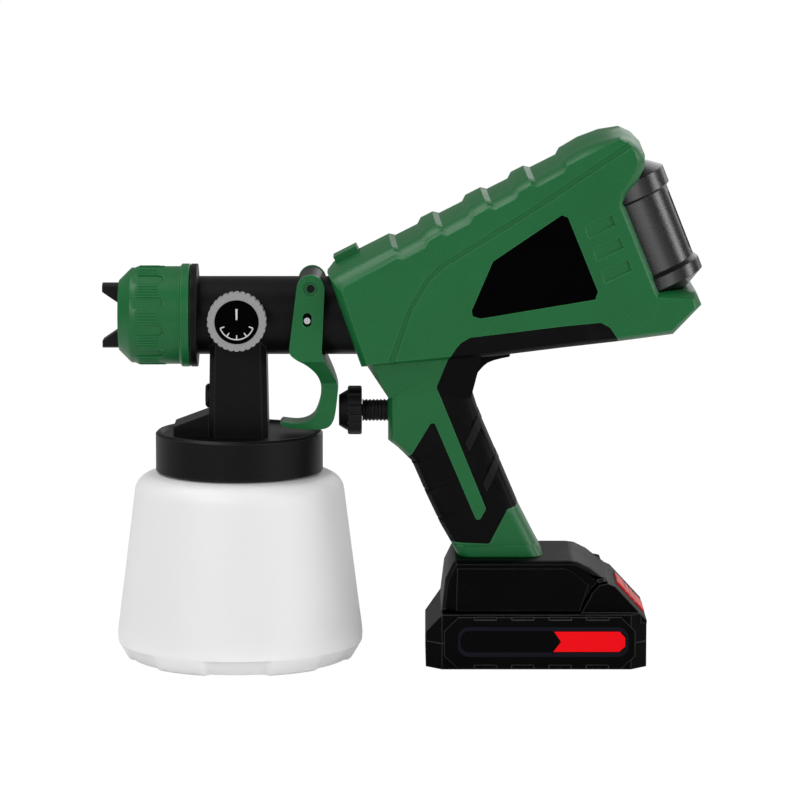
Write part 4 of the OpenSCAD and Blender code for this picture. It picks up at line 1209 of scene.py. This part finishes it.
@dataclass
class GripPads(Assembly):
    """The soft pads on the grip, with finger grooves in front and raised bars behind."""

    grooves: tuple[tuple[Flat, Flat], ...] = (
        ((6.0, 101.5), (14.8, 104.2)),
        ((12.7, 87.3), (21.8, 90.1)),
        ((18.9, 72.7), (27.6, 75.4)),
    )
    groove_w: float = 1.3
    groove_lead: float = 8.0
    groove_deep: float = 0.45 * MM
    bars: tuple[Outline, ...] = (
        ((31.4, 110.9), (33.4, 106.3), (43.0, 127.5), (39.6, 128.6)),
        ((40.2, 90.3), (42.0, 86.0), (51.6, 106.6), (48.4, 108.2)),
    )
    bar_gap: float = 0.45
    bar_proud: float = 0.25 * MM
    base_plan: tuple[float, float, float, float] = (24.75, -19.45, 66.95, 19.45)
    base_corner: float = 6.5
    base_top: float = 59.2 * MM
    base_drop: Point = (3.0 * MM, 0.0, -5.68 * MM)
    heel: Outline = (
        (33.9, 144.4), (37.0, 144.15), (37.65, 145.65), (38.9, 147.1), (40.4, 148.75),
        (42.25, 150.2), (44.4, 151.2), (46.65, 151.9), (49.5, 152.6), (53.5, 153.4),
        (53.5, 154.9), (33.9, 154.9),
    )
    heel_half: float = 15 * MM
    heel_round: float = 1.2 * MM
    slab_t: float = 40 * MM

    def base(self) -> Piece:
        """The straight lower end of the grip, down to the foot.

        Returns:
            The piece.
        """
        plan = rounded_box(*self.base_plan, self.base_corner)
        outline = [(x * MM, y * MM, self.base_top) for x, y in plan]
        piece = plate("grip_base", outline, self.base_drop)
        smooth(piece)
        return piece

    def web(self) -> Piece:
        """The rounded corner between the back of the grip and the body.

        Returns:
            The piece.
        """
        outline = side_outline(self.heel, -self.heel_half)
        piece = plate("grip_heel", outline, (0.0, 2 * self.heel_half, 0.0))
        round_off(piece, self.heel_round, 4, 50.0)
        smooth(piece)
        return piece

    def slab(self, outline: Outline, side: Side) -> Piece:
        """A thick block over one side of the grip, to cut with."""
        face = side_outline(outline, side.value * MM)
        return plate("pad_slab", face, (0.0, side.value * self.slab_t, 0.0))

    def groove_tool(self, pad: Piece, side: Side) -> Piece:
        """Slabs for the grooves and the gaps round the bars, to a little under the pad's skin.

        Args:
            pad: The pad.
            side: Its side.

        Returns:
            The slabs, joined.
        """
        under = copy_of(pad, "pad_core")
        with editing(under):
            bpy.ops.transform.shrink_fatten(value=-self.groove_deep)
        areas = [grown(outline, self.bar_gap) for outline in self.bars]
        for first, last in self.grooves:
            start, end = Vector(first), Vector(last)
            along = (end - start).normalized()
            across = Vector((-along.y, along.x)) * self.groove_w / 2
            start -= along * self.groove_lead
            corners = (start - across, end - across, end + across, start + across)
            areas.append([tuple(corner) for corner in corners])
        slabs = [self.slab(area, side) for area in areas]
        take(slabs[0])
        for slab in slabs[1:]:
            slab.select_set(True)
        bpy.ops.object.join()
        cut(slabs[0], under, "DIFFERENCE")
        return slabs[0]

    def bar(self, pad: Piece, side: Side, outline: Outline, name: str) -> Piece:
        """A slice of the pad's own skin, raised a little.

        Args:
            pad: The pad.
            side: Its side.
            outline: The bar's corners.
            name: The bar's name.

        Returns:
            The bar.
        """
        piece = copy_of(pad, name)
        cut(piece, self.slab(outline, side), "INTERSECT")
        with editing(piece):
            merge()
            bpy.ops.transform.shrink_fatten(value=self.bar_proud)
        smooth(piece)
        return piece

    def build(self) -> None:
        """Both pads and the grip's lower end."""
        self.place(self.base(), "body", self.palette.green)
        self.place(self.web(), "body", self.palette.soft)
        for side, node in ((Side.LEFT, "left_grip_pad"), (Side.RIGHT, "right_grip_pad")):
            pad = shell(node, f"{node}_skin", SHELL_ANGLE)
            for i, outline in enumerate(self.bars):
                bar = self.bar(pad, side, outline, f"{node}_bar_{i + 1}")
                self.place(bar, "body", self.palette.soft_inlay)
            cut(pad, self.groove_tool(pad, side), "DIFFERENCE")
            smooth(pad)
            self.place(pad, "body", self.palette.soft, node)


@dataclass
class FlowKnob(Assembly):
    """The flow wheel on its threaded plunger."""

    def build(self) -> None:
        """Skins of the wheel, its stem and the bush that guides it."""
        black = self.palette.black_fine
        self.skin(black, "flow_wheel", "flow_wheel")
        self.skin(black, "plunger", "flow_stem")
        self.skin(black, "body", "plunger_bush")


@dataclass
class BatteryPack(Assembly):
    """The sliding battery, its side frames and labels, and the foot that it slides on."""

    label_t: float = 0.10 * MM
    label_round: float = 0.04 * MM
    border: tuple[float, ...] = (27.6, 6.6, 112.0, 21.6, 5.5)
    strip: tuple[float, ...] = (28.8, 8.9, 110.9, 19.7, 4.6)
    band: Outline = (
        (75.1, 19.4), (78.6, 14.3), (74.8, 9.2), (107.3, 9.2), (110.4, 11.9), (110.4, 16.3),
        (107.6, 19.4),
    )
    foot_panel: Outline = (
        (27.2, 50.2), (80.5, 50.2), (84.5, 48.6), (92.5, 42.0), (88.2, 28.6), (26.6, 28.6)
    )
    panel_proud: float = 0.5 * MM
    panel_t: float = 2.5 * MM
    panel_round: float = 0.45 * MM
    button_way: Point = (-0.74314, 0.0, -0.66913)
    button_travel: float = 2.5 * MM

    @staticmethod
    def face(node: str, side: Side) -> float:
        """The Y of a solid's outer face on one side."""
        low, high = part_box(node)
        return low.y if side is Side.LEFT else high.y

    def panel(self, side: Side) -> None:
        """The raised panel on one side of the foot.

        Args:
            side: The side.
        """
        y = self.face("battery_foot", side) + side.value * self.panel_proud
        outline = side_outline(self.foot_panel, y)
        depth = (0.0, -side.value * self.panel_t, 0.0)
        piece = plate(f"{side.name.lower()}_foot_panel", outline, depth)
        round_off(piece, self.panel_round)
        smooth(piece)
        self.place(piece, "body", self.palette.black_deep)

    def label(self, side: Side) -> None:
        """A plain dark label with a red band, in three thin layers.

        Args:
            side: The side that it is on.
        """
        p = self.palette
        word = side.name.lower()
        y = self.face(f"{word}_battery_frame", side)
        step = side.value * self.label_t
        layers = (
            (rounded_box(*self.border), p.label_navy, "border"),
            (rounded_box(*self.strip), p.label_black, "strip"),
            (self.band, p.label_red, "band"),
        )
        for i, (outline, finish, name) in enumerate(layers):
            corners = side_outline(outline, y + step * i)
            piece = plate(f"{word}_label_{name}", corners, (0.0, step, 0.0))
            round_off(piece, self.label_round, 2)
            self.place(piece, "battery", finish)

    def build(self) -> None:
        """Skins of the foot and the pack, the red press and the labels."""
        p = self.palette
        self.skin(p.black_deep, "body", "battery_foot", degrees=SHELL_ANGLE)
        self.skin(p.black_deep, "battery", "battery_lower_case", "battery_upper_case")
        self.skin(p.black_deep, "battery", "left_battery_frame", "right_battery_frame")
        self.skin(p.red, "battery_button", "battery_button")
        self.skin(p.steel, "battery", "battery_screws")
        self.paint(p.can, "battery_cells")
        self.paint(p.board, "cell_board")
        press = "battery_button_press"
        self.spring("button_spring", "battery", press, self.button_way, self.button_travel)
        for side in Side:
            self.panel(side)
            self.label(side)


# Studio


@dataclass(frozen=True)
class SoftBox:
    """A square lamp: its name, where it stands, the width of its face and its watts."""

    name: str
    at: Point
    size: float
    watts: float


@dataclass
class Studio:
    """The pale floor, soft lamps and the camera."""

    target: Point = (-0.0011, 0.0, 0.1297)
    distance: float = 2.2
    elevation: float = 8.0
    frame_width: float = 0.400
    sensor_mm: float = 36.0
    far_clip: float = 100.0
    floor_size: float = 40.0
    floor_z: float = -0.3 * MM
    floor_greys: Flat = (0.80, 0.82)
    floor_speck: float = 0.08
    floor_glow: float = 1.06
    floor_share: float = 0.93
    sky_light: float = 0.28
    sky_seen: float = 1.03
    backdrop: tuple[float, ...] = (1.0, 1.0, 1.0, 1.0)
    lamps: tuple[SoftBox, ...] = (
        SoftBox("key_box", (-1.2, -1.8, 1.1), 1.0, 24.0),
        SoftBox("fill_box", (1.8, -1.6, 0.8), 1.2, 19.5),
        SoftBox("top_box", (-0.75, 0.0, 1.55), 0.8, 12.0),
        SoftBox("rear_box", (0.8, 1.8, 1.0), 1.4, 9.0),
        SoftBox("right_box", (2.0, 0.45, 0.7), 0.5, 8.0),
        SoftBox("side_box", (1.9, -0.9, 0.3), 1.2, 7.0),
    )

    def floor(self) -> None:
        """A wide floor that shows white to the camera and keeps a soft shadow."""
        bpy.ops.mesh.primitive_plane_add(size=self.floor_size, location=(0.0, 0.0, self.floor_z))
        floor = bpy.context.active_object
        floor.name = "studio_floor"
        material = bpy.data.materials.new("studio_floor")
        g = Graph(material)
        greys = ((grey, grey, grey) for grey in self.floor_greys)
        g.surface(Base_Color=g.mix(g.noise(self.floor_speck), *greys), Roughness=0.9)
        light = {"Color": self.backdrop, "Strength": self.floor_glow}
        glow = g.node("ShaderNodeEmission", {}, light)
        mixed = g.node("ShaderNodeMixShader", {}, {0: self.seen(g) * self.floor_share})
        g.tree.links.new(g.shader.outputs[0], mixed.inputs[1])
        g.tree.links.new(glow.outputs[0], mixed.inputs[2])
        g.tree.links.new(mixed.outputs[0], g.tree.nodes["Material Output"].inputs["Surface"])
        floor.data.materials.append(material)

    @staticmethod
    def seen(g: Graph) -> Value:
        """One where the camera looks, straight or through a clear piece."""
        rays = g.node("ShaderNodeLightPath").outputs
        return Value(g, rays["Is Camera Ray"]) + Value(g, rays["Is Transmission Ray"])

    def sky(self) -> None:
        """An even white surround, dimmer as a light than as a background."""
        world = bpy.data.worlds.new("studio_surround")
        bpy.context.scene.world = world
        g = Graph(world, "Background")
        levels = {"Value": self.seen(g), "To Min": self.sky_light, "To Max": self.sky_seen}
        g.surface(Color=self.backdrop, Strength=g.value("ShaderNodeMapRange", {}, levels))

    def stand(self, name: str, data: bpy.types.ID, at: Vector) -> Piece:
        """Puts up an object that faces the gun.

        Args:
            name: Its name.
            data: Its lamp or camera data.
            at: Where it stands.

        Returns:
            The object.
        """
        piece = bpy.data.objects.new(name, data)
        bpy.context.scene.collection.objects.link(piece)
        piece.location = at
        piece.rotation_euler = (Vector(self.target) - at).to_track_quat("-Z", "Y").to_euler()
        return piece

    def lamp(self, box: SoftBox) -> None:
        """Puts up one lamp, facing the gun.

        Args:
            box: The lamp.
        """
        data = bpy.data.lights.new(box.name, "AREA")
        data.size = box.size
        data.energy = box.watts
        self.stand(box.name, data, Vector(box.at))

    def camera(self) -> None:
        """The camera at the photograph's height and distance."""
        data = bpy.data.cameras.new("camera")
        data.sensor_width = self.sensor_mm
        data.lens = self.sensor_mm * self.distance / self.frame_width
        data.clip_end = self.far_clip
        rise = math.radians(self.elevation)
        offset = Vector((0.0, -math.cos(rise), math.sin(rise))) * self.distance
        bpy.context.scene.camera = self.stand("camera", data, Vector(self.target) + offset)

    def build(self) -> None:
        """The whole studio."""
        bpy.context.scene.view_settings.view_transform = "Standard"
        self.floor()
        self.sky()
        for box in self.lamps:
            self.lamp(box)
        self.camera()


PARTS = (
    PaintCup, SprayHead, UnionNut, PatternDial, Trigger, BodyShell, GripPads, FlowKnob, BatteryPack
)


def main() -> None:
    """Builds the studio and the gun."""
    logging.basicConfig(level=logging.INFO, format="%(name)s: %(message)s")
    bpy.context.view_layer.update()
    palette = Palette()
    Studio().build()
    for part in PARTS:
        part(palette).build()
    deselect()


if __name__ == "__main__":
    main()
